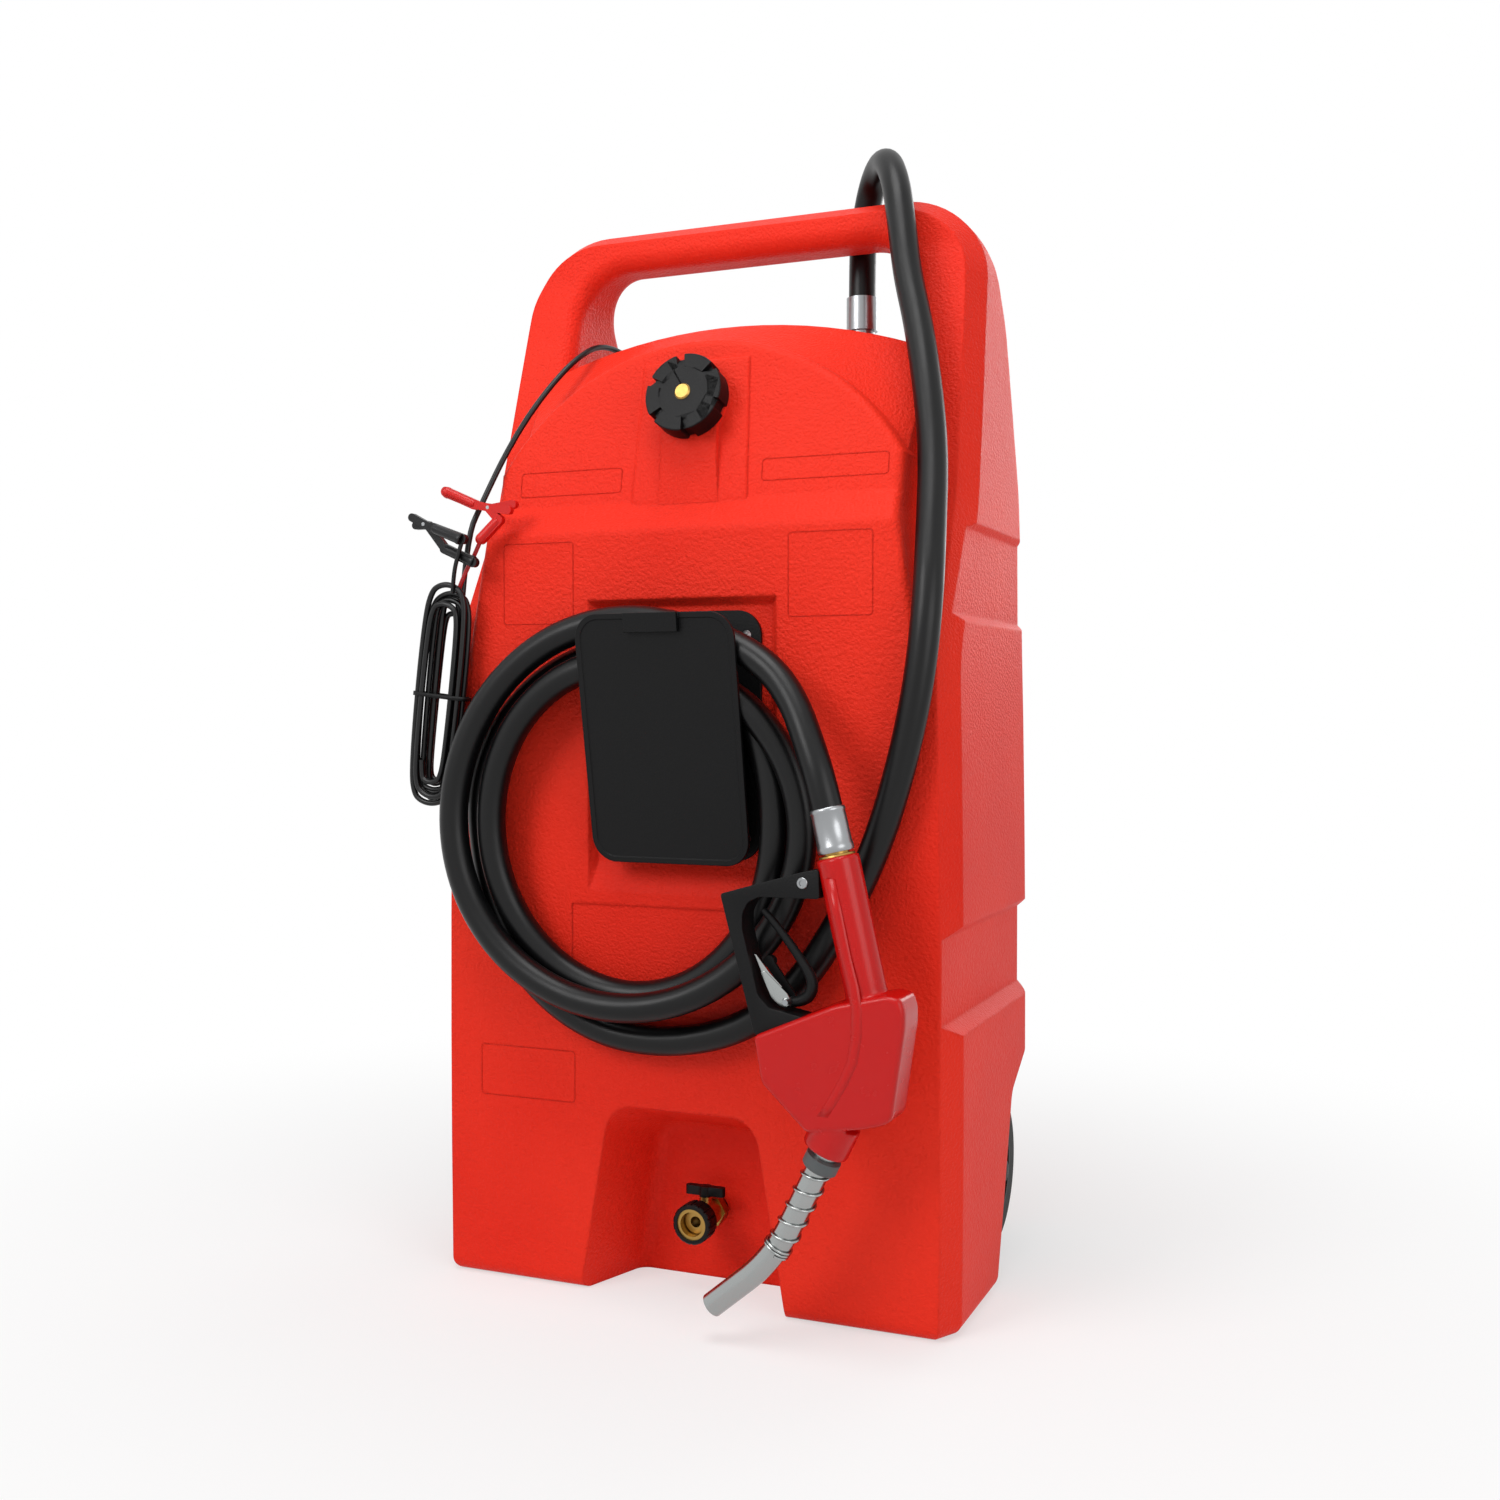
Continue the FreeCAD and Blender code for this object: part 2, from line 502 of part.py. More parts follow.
def fill_outline(sketch, points, arcs):
    """Draw a closed outline. arcs maps a side's number to (radius, +1 or -1): its centre lies to the left
    or to the right of the way from its first point to its last."""
    count = len(points)
    for i in range(count):
        a = V(number(points[i][0]), number(points[i][1]), 0)
        b = V(number(points[(i + 1) % count][0]), number(points[(i + 1) % count][1]), 0)
        if i not in arcs:
            sketch.addGeometry(Part.LineSegment(a, b), False)
            continue
        radius, side = number(arcs[i][0]), arcs[i][1]
        half = (b - a) / 2
        reach = math.sqrt(max(radius ** 2 - half.Length ** 2, 0))
        left = V(-half.y, half.x, 0).normalize() * side
        centre = (a + b) / 2 + left * reach
        sketch.addGeometry(Part.Arc(a, centre - left * radius, b), False)
    for i in range(count):
        start = corner_of(sketch, i, points[i])
        if isinstance(points[i][0], Size):
            number_c = sketch.addConstraint(
                Sketcher.Constraint("DistanceX", -1, 1, i, start, number(points[i][0])))
            sketch.setExpression("Constraints[" + str(number_c) + "]", formula_of(points[i][0]))
        elif number(points[i][0]) == 0:
            sketch.addConstraint(Sketcher.Constraint("PointOnObject", i, start, -2))
        else:
            sketch.addConstraint(Sketcher.Constraint("DistanceX", -1, 1, i, start, number(points[i][0])))
        if isinstance(points[i][1], Size):
            number_c = sketch.addConstraint(
                Sketcher.Constraint("DistanceY", -1, 1, i, start, number(points[i][1])))
            sketch.setExpression("Constraints[" + str(number_c) + "]", formula_of(points[i][1]))
        elif number(points[i][1]) == 0:
            sketch.addConstraint(Sketcher.Constraint("PointOnObject", i, start, -1))
        else:
            sketch.addConstraint(Sketcher.Constraint("DistanceY", -1, 1, i, start, number(points[i][1])))
    for i in range(count):
        j = (i + 1) % count
        end = 3 - corner_of(sketch, i, points[i])
        sketch.addConstraint(Sketcher.Constraint("Coincident", i, end, j, corner_of(sketch, j, points[j])))
    for i, (radius, side) in arcs.items():
        number_c = sketch.addConstraint(Sketcher.Constraint("Radius", i, number(radius)))
        if isinstance(radius, Size):
            sketch.setExpression("Constraints[" + str(number_c) + "]", radius.formula)


def corner_of(sketch, i, wanted):
    """1 if side i starts at the wanted point, 2 if it ends there. An arc may run the other way round."""
    target = V(number(wanted[0]), number(wanted[1]), 0)
    first = sketch.getPoint(i, 1)
    second = sketch.getPoint(i, 2)
    return 1 if (first - target).Length <= (second - target).Length else 2


def prism(name, plane, points, start, end, arcs=None):
    """An outline drawn on a plane and pulled straight from one distance to another."""
    turn, normal = PLANES[plane]
    outline = doc.addObject("Sketcher::SketchObject", name + "_outline")
    outline.Placement = FreeCAD.Placement(normal * number(start), turn)
    fill_outline(outline, points, arcs or {})
    pulled = doc.addObject("Part::Extrusion", name)
    pulled.Base = outline
    pulled.DirMode = "Custom"
    pulled.Dir = normal
    pulled.Solid = True
    bind(pulled, "LengthFwd", end - start)
    doc.recompute()
    return pulled


def mirrored_outline(half):
    """The right-hand points of a symmetric outline, from bottom to top, followed by their mirror images."""
    return half + [(-x, z) for x, z in reversed(half)]


def block(name, low, high):
    """A box from its low corner to its high corner, each a tuple of sizes."""
    box = doc.addObject("Part::Box", name)
    for prop, a, b in zip(("Length", "Width", "Height"), low, high):
        bind(box, prop, b - a)
    box.Placement.Base = point(*low)
    doc.recompute()
    return box


def cylinder(name, radius, length, position, direction=UP):
    rod = doc.addObject("Part::Cylinder", name)
    bind(rod, "Radius", radius)
    bind(rod, "Height", length)
    rod.Placement = placed(position, direction)
    return rod


def hexagon(name, across_flats, length, position, direction=UP):
    bar = doc.addObject("Part::Prism", name)
    bar.Polygon = 6
    bind(bar, "Circumradius", across_flats / math.sqrt(3))
    bind(bar, "Height", length)
    bar.Placement = placed(position, direction)
    return bar


def turned(name, points, position, direction=UP, arcs=None):
    """A body whose outline (radius, height) is turned about its own Z axis."""
    body = doc.addObject("PartDesign::Body", name)
    outline = body.newObject("Sketcher::SketchObject", name + "_outline")
    upright = [plane for plane in body.Origin.OriginFeatures if plane.Role == "XZ_Plane"][0]
    outline.AttachmentSupport = (upright, [""])
    outline.MapMode = "FlatFace"
    doc.recompute()
    fill_outline(outline, points, arcs or {})
    turn = body.newObject("PartDesign::Revolution", name + "_turn")
    turn.Profile = outline
    turn.ReferenceAxis = (outline, ["V_Axis"])
    turn.Angle = 360
    body.Placement = placed(position, direction)
    doc.recompute()
    return body


def fuse(name, *parts):
    joined = doc.addObject("Part::MultiFuse", name)
    joined.Shapes = list(parts)
    joined.Refine = True
    doc.recompute()
    return joined


def common(name, first, second):
    both = doc.addObject("Part::Common", name)
    both.Base = first
    both.Tool = second
    doc.recompute()
    return both


def cut(name, base, *tools):
    less = doc.addObject("Part::Cut", name)
    less.Base = base
    less.Tool = tools[0] if len(tools) == 1 else fuse(name + "_tools", *tools)
    less.Refine = True
    doc.recompute()
    return less


def chosen_edges(thing, wanted):
    """The numbers of the edges whose middle point and box pass the test."""
    found = []
    for i, edge in enumerate(thing.Shape.Edges, start=1):
        middle = edge.valueAt((edge.FirstParameter + edge.LastParameter) / 2)
        if wanted(middle, edge.BoundBox, edge):
            found.append(i)
    return found


def rounded(name, base, radius, wanted):
    """Round the edges that pass the test."""
    fillet = doc.addObject("Part::Fillet", name)
    fillet.Base = base
    size = number(radius)
    fillet.Edges = [(i, size, size) for i in chosen_edges(base, wanted)]
    doc.recompute()
    return fillet


def bevelled(name, base, first, second, wanted):
    """Bevel the edges that pass the test, by two distances."""
    chamfer = doc.addObject("Part::Chamfer", name)
    chamfer.Base = base
    chamfer.Edges = [(i, number(first), number(second)) for i in chosen_edges(base, wanted)]
    doc.recompute()
    return chamfer


def moved_copy(name, source, placement):
    """A copy of a shape at another place, for what repeats round an axis or along a row."""
    copy = doc.addObject("Part::Feature", name)
    copy.Shape = source.Shape
    copy.Placement = placement.multiply(source.Placement)
    return copy


def ring_of(name, source, count, axis_point, axis, start=0):
    """The source repeated evenly round an axis and joined."""
    copies = []
    for i in range(int(number(count))):
        angle = start + 360 * i / number(count)
        turn = FreeCAD.Placement(V(0, 0, 0), FreeCAD.Rotation(axis, angle), axis_point)
        copies.append(moved_copy(name + "_" + str(i), source, turn))
    group = doc.addObject("Part::Compound", name)
    group.Links = copies
    doc.recompute()
    return group


def node(name, thing):
    """Name a finished sub-part."""
    thing.Label = name
    nodes[name] = thing
    return thing


def is_along(box, axis, least):
    """True for a straight edge that runs along one axis for at least a length."""
    spans = {"x": box.XLength, "y": box.YLength, "z": box.ZLength}
    return spans.pop(axis) > least and max(spans.values()) < 0.1


# Tank: the outer frame with its handle loop. The outline from the front meets the outline from the side.


def circle_through(a, b, c):
    """Centre and radius of the circle through three points of a plane."""
    d = 2 * (a.x * (b.y - c.y) + b.x * (c.y - a.y) + c.x * (a.y - b.y))
    x = (a.dot(a) * (b.y - c.y) + b.dot(b) * (c.y - a.y) + c.dot(c) * (a.y - b.y)) / d
    y = (a.dot(a) * (c.x - b.x) + b.dot(b) * (a.x - c.x) + c.dot(c) * (b.x - a.x)) / d
    centre = V(x, y, 0)
    return centre, (a - centre).Length


foot_point = point(s.foot_half, 0, 0)
waist_point = point(s.waist_half, s.waist_height, 0)
shoulder_point = point(s.shoulder_half, s.shoulder_height, 0)
side_centre, side_radius = circle_through(foot_point, waist_point, shoulder_point)
inward = (side_centre - shoulder_point).normalize()
corner_centre = shoulder_point + inward * number(s.top_corner)
tank_top = corner_centre.y + number(s.top_corner)


def on_outline(middle, box):
    """True on the frame's outer edges, seen from the front."""
    short_cross = box.XLength < 1 and box.ZLength < 1
    wide_crease = box.XLength > 2 * number(s.top_corner) and abs(middle.z - tank_top) > 10
    return not short_cross and not wide_crease


def crease(thing, y, z, radius):
    """Round one crease of the side outline."""
    return rounded(thing.Name + "_crease", thing, radius,
                   lambda middle, box, edge: is_along(box, "x", LONG_EDGE) and abs(middle.y - number(y)) < 1
                   and abs(middle.z - number(z)) < 1)


def frame_form(name, inset):
    """The frame with its rounded back edges and bevelled front edges, as seen from the front and the
    side. The inside of the wall is the same form, set in."""
    top = tank_top - number(inset)
    edge_arc = number(s.top_corner) - number(inset)
    front = prism(
        name + "_front", "front",
        [(s.foot_half - inset, inset), (s.shoulder_half - inset, s.shoulder_height),
         (corner_centre.x, top), (-corner_centre.x, top),
         (inset - s.shoulder_half, s.shoulder_height), (inset - s.foot_half, inset)],
        -2 * s.front_face, 2 * s.rear_face,
        {0: (side_radius - number(inset), 1), 1: (edge_arc, 1), 3: (edge_arc, 1),
         4: (side_radius - number(inset), 1)})
    above = s.bar_top + s.top_corner
    front_y, bar_front, bar_back = inset - s.front_face, s.bar_front + inset, s.bar_back - inset
    side = prism(
        name + "_side", "side",
        [(front_y, inset), (front_y, s.front_break), (inset - s.post_foot_front, s.post_foot_height),
         (bar_front, s.bar_break), (bar_front, above), (bar_back, above), (bar_back, s.bar_top),
         (s.back_elbow - inset, s.elbow_height), (s.rear_face - inset, s.back_break),
         (s.rear_face - inset, inset)],
        -2 * s.foot_half, 2 * s.foot_half)
    side = crease(side, front_y, s.front_break, s.break_round)
    side = crease(side, inset - s.post_foot_front, s.post_foot_height, s.break_round)
    side = crease(side, bar_front, s.bar_break, s.bar_round)
    side = crease(side, s.back_elbow - inset, s.elbow_height, s.break_round)
    side = crease(side, s.rear_face - inset, s.back_break, s.back_round)
    form = common(name, front, side)
    form = rounded(name + "_rear_round", form, s.rear_round - inset,
                   lambda middle, box, edge: on_outline(middle, box) and middle.y > 50
                   and middle.z > number(inset) + 1)
    return bevelled(name + "_front_bevel", form, s.front_bevel, s.bevel_depth,
                    lambda middle, box, edge: on_outline(middle, box) and middle.y < 40
                    and middle.z > number(inset) + 1 and not is_along(box, "y", 1))


frame = frame_form("frame", 0 * s.tank_wall)
window = block("window", (-s.post_inner, -2 * s.front_face, s.shelf_height),
               (s.post_inner, 2 * s.rear_face, s.window_top))
window = rounded("window_corners", window, s.window_corner,
                 lambda middle, box, edge: is_along(box, "y", DEEP_EDGE)
                  and middle.z > number(s.shelf_height) + 1)
frame = cut("frame_open", frame, window)
frame = rounded(
    "frame_grip", frame, s.grip_round,
    lambda middle, box, edge: middle.z > number(s.shelf_height) + 1 and middle.z < number(s.window_top) + 1
    and abs(middle.x) < number(s.post_inner) + 0.5 and not (box.XLength < 0.1 and box.ZLength < 0.1))

# Tank: the front body with its flat panel, ledge and filler dome.
dome_shoulder = number(s.dome_centre) + math.sqrt(number(s.dome_radius) ** 2 - number(s.dome_half) ** 2)
panel_outline = [(s.panel_foot_half, 0), (s.panel_belt_half, s.panel_belt),
                 (s.panel_top_half, s.panel_shoulder),
                 (s.dome_half, s.dome_foot), (s.dome_half, dome_shoulder)]
front_body = prism("front_body", "front", mirrored_outline(panel_outline), -s.front_face - s.tank_wall, 0,
                   {4: (s.dome_radius, 1)})
dome_top = s.dome_centre + s.dome_radius
front_body_side = prism(
    "front_body_side", "side",
    [(-s.front_face, 0), (-s.front_face, s.ledge_height),
     (-s.front_face + s.dome_setback, s.ledge_height + s.ledge_rise),
     (-s.front_face + s.dome_setback + s.dome_lean, dome_top), (0, dome_top), (0, 0)],
    -2 * s.foot_half, 2 * s.foot_half)
front_body_side = rounded("front_body_ledge", front_body_side, s.ledge_round,
                          lambda middle, box, edge: is_along(box, "x", LONG_EDGE) and middle.y < -100
                          and abs(middle.z - number(s.ledge_height)) < 1)
front_body = common("front_body_cut", front_body, front_body_side)
front_body = rounded(
    "front_body_edges", front_body, s.front_body_round,
    lambda middle, box, edge: middle.z > 20 and middle.y < -80 and abs(middle.x) > 1
    and not box.XLength > 2 * number(s.dome_half) - 1)
deck_side = number(s.deck_top) - number(s.deck_radius) + math.sqrt(
    number(s.deck_radius) ** 2 - number(s.dome_half) ** 2)


def dome_section(y, half, side_top, radius):
    """A section of the dome at one depth: straight sides under an arched top."""
    low = number(s.panel_shoulder)
    half, radius = number(half), number(radius)
    rise = radius - math.sqrt(radius ** 2 - half ** 2)
    corners = [V(-half, y, low), V(half, y, low), V(half, y, side_top), V(-half, y, side_top)]
    arch = Part.Arc(corners[2], V(0, y, side_top + rise), corners[3])
    edges = [Part.LineSegment(corners[i], corners[i + 1]).toShape() for i in range(2)]
    edges.append(arch.toShape())
    edges.append(Part.LineSegment(corners[3], corners[0]).toShape())
    return Part.Wire(edges)


dome_back_y = -number(s.front_face) + number(s.dome_setback) + number(s.dome_lean) + 4
loft = doc.addObject("Part::Feature", "dome_loft")
loft.Shape = Part.makeLoft([
    dome_section(dome_back_y, s.dome_half - s.dome_lap, dome_shoulder - number(s.dome_lap_drop),
                 s.dome_radius - s.dome_lap),
    dome_section(-number(s.deck_front), s.dome_half, deck_side, s.deck_radius)], True, True)
deck = doc.addObject("Part::Feature", "deck")
deck_face = Part.Face(dome_section(-number(s.deck_front), s.dome_half, deck_side, s.deck_radius))
deck.Shape = deck_face.extrude(V(0, number(s.deck_back) + number(s.deck_front), 0))


# Tank: the raised pad on the dome and the boss that carries the filler neck.
lean = math.degrees(math.atan2(number(s.dome_lean), number(dome_top - s.ledge_height - s.ledge_rise)))
dome_foot_y = s.dome_setback - s.front_face
dome_foot_z = s.ledge_height + s.ledge_rise
pad_top = s.dome_centre + s.dome_radius - s.pad_below_top
pad = prism("pad", "front",
            mirrored_outline([(s.pad_half + s.pad_spread, s.ledge_height), (s.pad_half, pad_top)]),
            -s.front_face, -s.front_face / 2)
pad_side = prism("pad_side", "side",
                 [(dome_foot_y - s.pad_proud, dome_foot_z - s.ledge_rise / 2),
                  (dome_foot_y - s.pad_proud, dome_foot_z),
                  (dome_foot_y - s.pad_proud + s.dome_lean, dome_top), (-s.front_face / 2, dome_top),
                  (-s.front_face / 2, dome_foot_z - s.ledge_rise / 2)],
                 -2 * s.pad_half, 2 * s.pad_half)
pad = common("pad_form", pad, pad_side)
pad = rounded("pad_round", pad, s.pad_proud * PAD_ROUND_SHARE,
              lambda middle, box, edge: middle.y < -90 and middle.z > number(dome_foot_z)
              and (box.ZLength > 50 or abs(middle.z - number(pad_top)) < 0.5) and box.YLength < 60)

cap_axis = V(0, -math.cos(math.radians(number(s.cap_tilt))), math.sin(math.radians(number(s.cap_tilt))))
cap_seat = point(0, -s.cap_seat_front, s.cap_seat_height)
neck_boss = cylinder("neck_boss", s.boss_radius, s.boss_depth, cap_seat - cap_axis * number(s.boss_depth),
                     cap_axis)
neck = cylinder("neck", s.neck_radius, s.neck_length, cap_seat, cap_axis)
boss_skirt = prism("boss_skirt", "front",
                   mirrored_outline([(s.boss_foot_half, dome_foot_z - 4), (s.boss_half, s.cap_seat_height)]),
                   -s.front_face, -s.front_face / 2)
boss_side = prism("boss_side", "side",
                  [(dome_foot_y - s.pad_proud - 0.5, dome_foot_z - 4),
                   (cap_seat.y - number(s.boss_radius) * math.sin(math.radians(number(s.cap_tilt))) + 1,
                    cap_seat.z - number(s.boss_radius) * math.cos(math.radians(number(s.cap_tilt))) + 2),
                   (cap_seat.y, cap_seat.z), (-s.front_face / 2, s.cap_seat_height),
                   (-s.front_face / 2, dome_foot_z - 4)],
                  -2 * s.pad_half, 2 * s.pad_half)
boss_skirt = common("boss_skirt_form", boss_skirt, boss_side)
tank = fuse("tank_outer", frame, front_body, loft, deck, pad, boss_skirt, neck_boss, neck)
tank = rounded("tank_foot", tank, s.foot_round, lambda middle, box, edge: box.ZMax < 0.5)

# Tank: what is taken out of the outer form. A band's tool is a wedge that stands on the side.


def band_tool(name, low, high, side):
    """The outline of a strap band, pulled from front to back on one side of the tank."""
    floor = s.waist_half - s.band_depth - s.shoulder_in
    outside = s.foot_half + s.band_slope
    slant = s.band_slope * BAND_SLANT_SHARE
    points = [(floor, low), (outside, low - slant), (outside, high + slant), (floor, high)]
    if side < 0:
        points = [(-x, z) for x, z in reversed(points)]
    return prism(name, "front", points, -2 * s.front_face, 2 * s.rear_face)


bands = []
for side, label in ((1, "right"), (-1, "left")):
    bands.append(band_tool("upper_band_" + label, s.upper_band_low, s.upper_band_high, side))
    bands.append(band_tool("lower_band_" + label, s.lower_band_low, s.lower_band_high, side))


def hollow_loft(name, front_y, front_half, back_y, back_half):
    """A hollow that narrows from a symmetric outline at the front to another further back."""
    wires = []
    for y, half in ((front_y, front_half), (back_y, back_half)):
        corners = [point(x, y, z) for x, z in mirrored_outline(half)]
        wires.append(Part.makePolygon(corners + corners[:1]))
    loft_shape = doc.addObject("Part::Feature", name)
    loft_shape.Shape = Part.makeLoft(wires, True, True)
    return loft_shape


def alcove_form(name, grow):
    """The drain alcove, or the same form grown by a wall for the inside."""
    return hollow_loft(
        name,
        -2 * s.front_face + s.alcove_back, [(2 * s.alcove_half - s.alcove_back_half + grow, -s.front_face),
                                            (2 * s.alcove_top_half - s.alcove_back_top_half + grow,
                                             2 * s.alcove_top - s.alcove_back_top + grow)],
        -s.alcove_back + grow, [(s.alcove_back_half + grow, -s.front_face),
                                (s.alcove_back_top_half + grow, s.alcove_back_top + grow)])


alcove = rounded("alcove_corners", alcove_form("alcove", 0 * s.tank_wall), s.alcove_corner,
                 lambda middle, box, edge: box.YLength > 50 and middle.z > 50)
alcove = rounded("alcove_back_round", alcove, s.alcove_back_round,
                 lambda middle, box, edge: abs(middle.y + number(s.alcove_back)) < 0.5
                 and middle.z > -number(s.front_face) + 1)


def well_form(name, grow, side):
    """A wheel well, open below, behind and to the side, or the same form grown by a wall."""
    points = [(s.well_front - grow, -s.well_round), (s.well_front_top - grow, s.well_knee + grow / 2),
              (s.wheel_back, s.well_top + grow), (2 * s.rear_face, s.well_top + grow),
              (2 * s.rear_face, -s.well_round)]
    inner, outer = s.well_inner - grow, s.foot_half + s.well_round
    span = (inner, outer) if side > 0 else (-outer, -inner)
    well = prism(name, "side", points, span[0], span[1])
    return rounded(name + "_knee", well, s.well_round,
                   lambda middle, box, edge: is_along(box, "x", 10) and middle.z > 100
                   and middle.y < number(s.rear_face))


wells = [well_form("right_well", 0 * s.tank_wall, 1), well_form("left_well", 0 * s.tank_wall, -1)]


def pocket_form(name, depth, grow):
    """The recess behind the hose hanger, with sloped sides and a long slope below."""
    low, high, half, edge = s.pocket_low, s.pocket_high, s.pocket_half, s.pocket_slope
    flare = edge * s.panel_cut_over / depth
    return hollow_loft(
        name, -s.front_face - s.panel_cut_over,
        [(half + edge + flare + grow, low - s.pocket_ramp - grow), (half + edge + flare + grow,
                                                                    high + edge + flare + grow)],
        -s.front_face + depth + grow, [(half + grow, low - grow), (half + grow, high + grow)])


pocket = pocket_form("hanger_pocket", s.pocket_depth, 0 * s.tank_wall)
lower_panel = block("lower_panel", (-s.lower_panel_half, -s.front_face - 1, s.lower_panel_low),
                    (s.lower_panel_half, -s.front_face + s.lower_panel_depth, s.lower_panel_high))
tunnel = cylinder("axle_tunnel", s.axle_radius + s.tunnel_gap, 2 * s.foot_half,
                  point(-s.foot_half, s.wheel_back, s.wheel_radius), RIGHT)
tank = cut("tank_cut", tank, *bands, alcove, *wells, pocket, lower_panel)
tank_outer_litres = tank.Shape.Volume / 1e6

# Tank: the inside of the wall.
wall = s.tank_wall
inside = frame_form("inside", wall)
window_inside = block("window_inside",
                      (-s.post_inner - s.post_wall, -2 * s.front_face, s.shelf_height - wall),
                      (s.post_inner + s.post_wall, 2 * s.rear_face, 2 * s.bar_top))
bar_solid = block("bar_solid", (-2 * s.foot_half, -2 * s.front_face, s.post_hollow_top),
                  (2 * s.foot_half, 2 * s.rear_face, 2 * s.bar_top))
inside = cut("inside_frame", inside, window_inside, bar_solid)
inside = rounded("inside_foot", inside, s.foot_round_inside,
                 lambda middle, box, edge: box.ZMax < number(wall) + 0.5)
dome_inside = prism("dome_inside", "front",
                    mirrored_outline([(s.dome_half - wall, s.front_break),
                                      (s.dome_half - wall, dome_shoulder)]),
                    -s.front_face, s.deck_back - wall,
                    {1: (s.dome_radius - wall, 1)})
dome_inside_side = prism(
    "dome_inside_side", "side",
    [(wall - s.front_face, s.front_break), (wall - s.front_face, s.ledge_height - wall),
     (dome_foot_y + wall, dome_foot_z), (dome_foot_y + s.dome_lean + wall, dome_top - wall),
     (s.deck_back - wall, dome_top - wall), (s.deck_back - wall, s.front_break)],
    -2 * s.foot_half, 2 * s.foot_half)
dome_inside = common("dome_inside_form", dome_inside, dome_inside_side)
inside = fuse("inside_fused", inside, dome_inside)
walls_kept = [alcove_form("alcove_wall", wall), well_form("right_well_wall", wall, 1),
              well_form("left_well_wall", wall, -1), pocket_form("pocket_wall", s.pocket_depth, wall)]
for side, label in ((1, "right"), (-1, "left")):
    for name, low, high in (("upper", s.upper_band_low, s.upper_band_high),
                            ("lower", s.lower_band_low, s.lower_band_high)):
        x0, x1 = s.waist_half - s.band_depth - s.shoulder_in - wall, 2 * s.foot_half
        x0, x1 = (x0, x1) if side > 0 else (-x1, -x0)
        walls_kept.append(block(name + "_band_wall_" + label,
                                (x0, -2 * s.front_face, low - s.band_slope - wall / 2),
                                (x1, 2 * s.rear_face, high + s.band_slope + wall / 2)))
walls_kept.append(cylinder("tunnel_wall", s.axle_radius + s.tunnel_gap + wall, 2 * s.foot_half,
                           point(-s.foot_half, s.wheel_back, s.wheel_radius), RIGHT))
inside = cut("tank_inside", inside, *walls_kept)
inner_litres = inside.Shape.Volume / 1e6
filler_bore = cylinder("filler_bore", s.filler_radius, s.neck_length + s.filler_depth,
                       cap_seat - cap_axis * number(s.filler_depth), cap_axis)
tank = cut("tank_shell", tank, inside, filler_bore, tunnel)
print("outer form %.1f litres, inside %.1f litres" % (tank_outer_litres, inner_litres))


# Wheels, right and left, on one axle.
def wheel_at(x):
    """A point on the axle's line."""
    return point(x, s.wheel_back, s.wheel_radius)


middle_z = s.tyre_width / 2
for label, side in (("right", 1), ("left", -1)):
    out = V(side, 0, 0)
    start = wheel_at(side * number(s.wheel_inner))
    tyre = turned(label + "_tyre_form",
                  [(s.tyre_seat, 0), (s.wheel_radius - s.tyre_shoulder, 0), (s.wheel_radius, s.tyre_shoulder),
                   (s.wheel_radius, s.tyre_width - s.tyre_shoulder),
                   (s.wheel_radius - s.tyre_shoulder, s.tyre_width), (s.tyre_seat, s.tyre_width)],
                  start, out, {1: (s.tyre_shoulder, 1), 3: (s.tyre_shoulder, 1)})
    node(label + "_tyre", tyre)
    hub_start = s.well_inner + s.side_gap - s.wheel_inner
    bore = s.axle_radius + s.running_gap
    rim = turned(label + "_rim_band",
                 [(bore, hub_start), (s.hub_radius, hub_start),
                  (s.hub_radius, middle_z - s.rim_wall / 2),
                  (s.tyre_seat - s.rim_wall, middle_z - s.rim_wall / 2), (s.tyre_seat - s.rim_wall, 0),
                  (s.tyre_seat, 0), (s.tyre_seat, s.tyre_width), (s.tyre_seat - s.rim_wall, s.tyre_width),
                  (s.tyre_seat - s.rim_wall, middle_z + s.rim_wall / 2),
                  (s.hub_radius, middle_z + s.rim_wall / 2), (s.hub_radius, hub_start + s.hub_length),
                  (bore, hub_start + s.hub_length)], start, out)
    rib_reach = s.tyre_seat - s.rim_wall / 2 - s.hub_radius + s.rim_wall / 2
    rib = block(label + "_rib", (s.wheel_inner + s.spoke_edge, s.wheel_back - s.spoke_thickness / 2,
                                 s.wheel_radius + s.hub_radius - s.rim_wall / 2),
                (s.wheel_inner + s.tyre_width - s.spoke_edge, s.wheel_back + s.spoke_thickness / 2,
                 s.wheel_radius + s.hub_radius + rib_reach))
    if side < 0:
        rib.Placement.Base.x = -number(s.wheel_inner + s.tyre_width - s.spoke_edge)
    ribs = ring_of(label + "_ribs", rib, s.spoke_count, wheel_at(0), RIGHT)
    node(label + "_rim", fuse(label + "_rim_form", rim, ribs))
hub_end = s.well_inner + s.side_gap + s.hub_length
axle_end = hub_end + s.side_gap + s.cap_depth
node("axle", cylinder("axle_rod", s.axle_radius, 2 * axle_end, wheel_at(-axle_end), RIGHT))
end_caps = []
for label, side in (("right", 1), ("left", -1)):
    end_caps.append(turned(
        label + "_end_cap",
        [(s.axle_radius, 0), (s.axle_cap_radius, 0), (s.axle_cap_radius, s.cap_depth),
         (s.axle_radius, s.axle_cap_length), (0, s.axle_cap_length), (0, s.cap_depth),
         (s.axle_radius, s.cap_depth)],
        wheel_at(side * number(hub_end + s.side_gap)), V(side, 0, 0)))
caps = doc.addObject("Part::Compound", "axle_caps_pair")
caps.Links = end_caps
node("axle_caps", caps)

# Hose hanger: back flange with its hollow core, the leaning front plate and the flange screws.
flange_back = s.pocket_depth - s.front_face
flange_front = flange_back - s.flange_thickness
lean_slope = s.plate_lean / s.plate_height


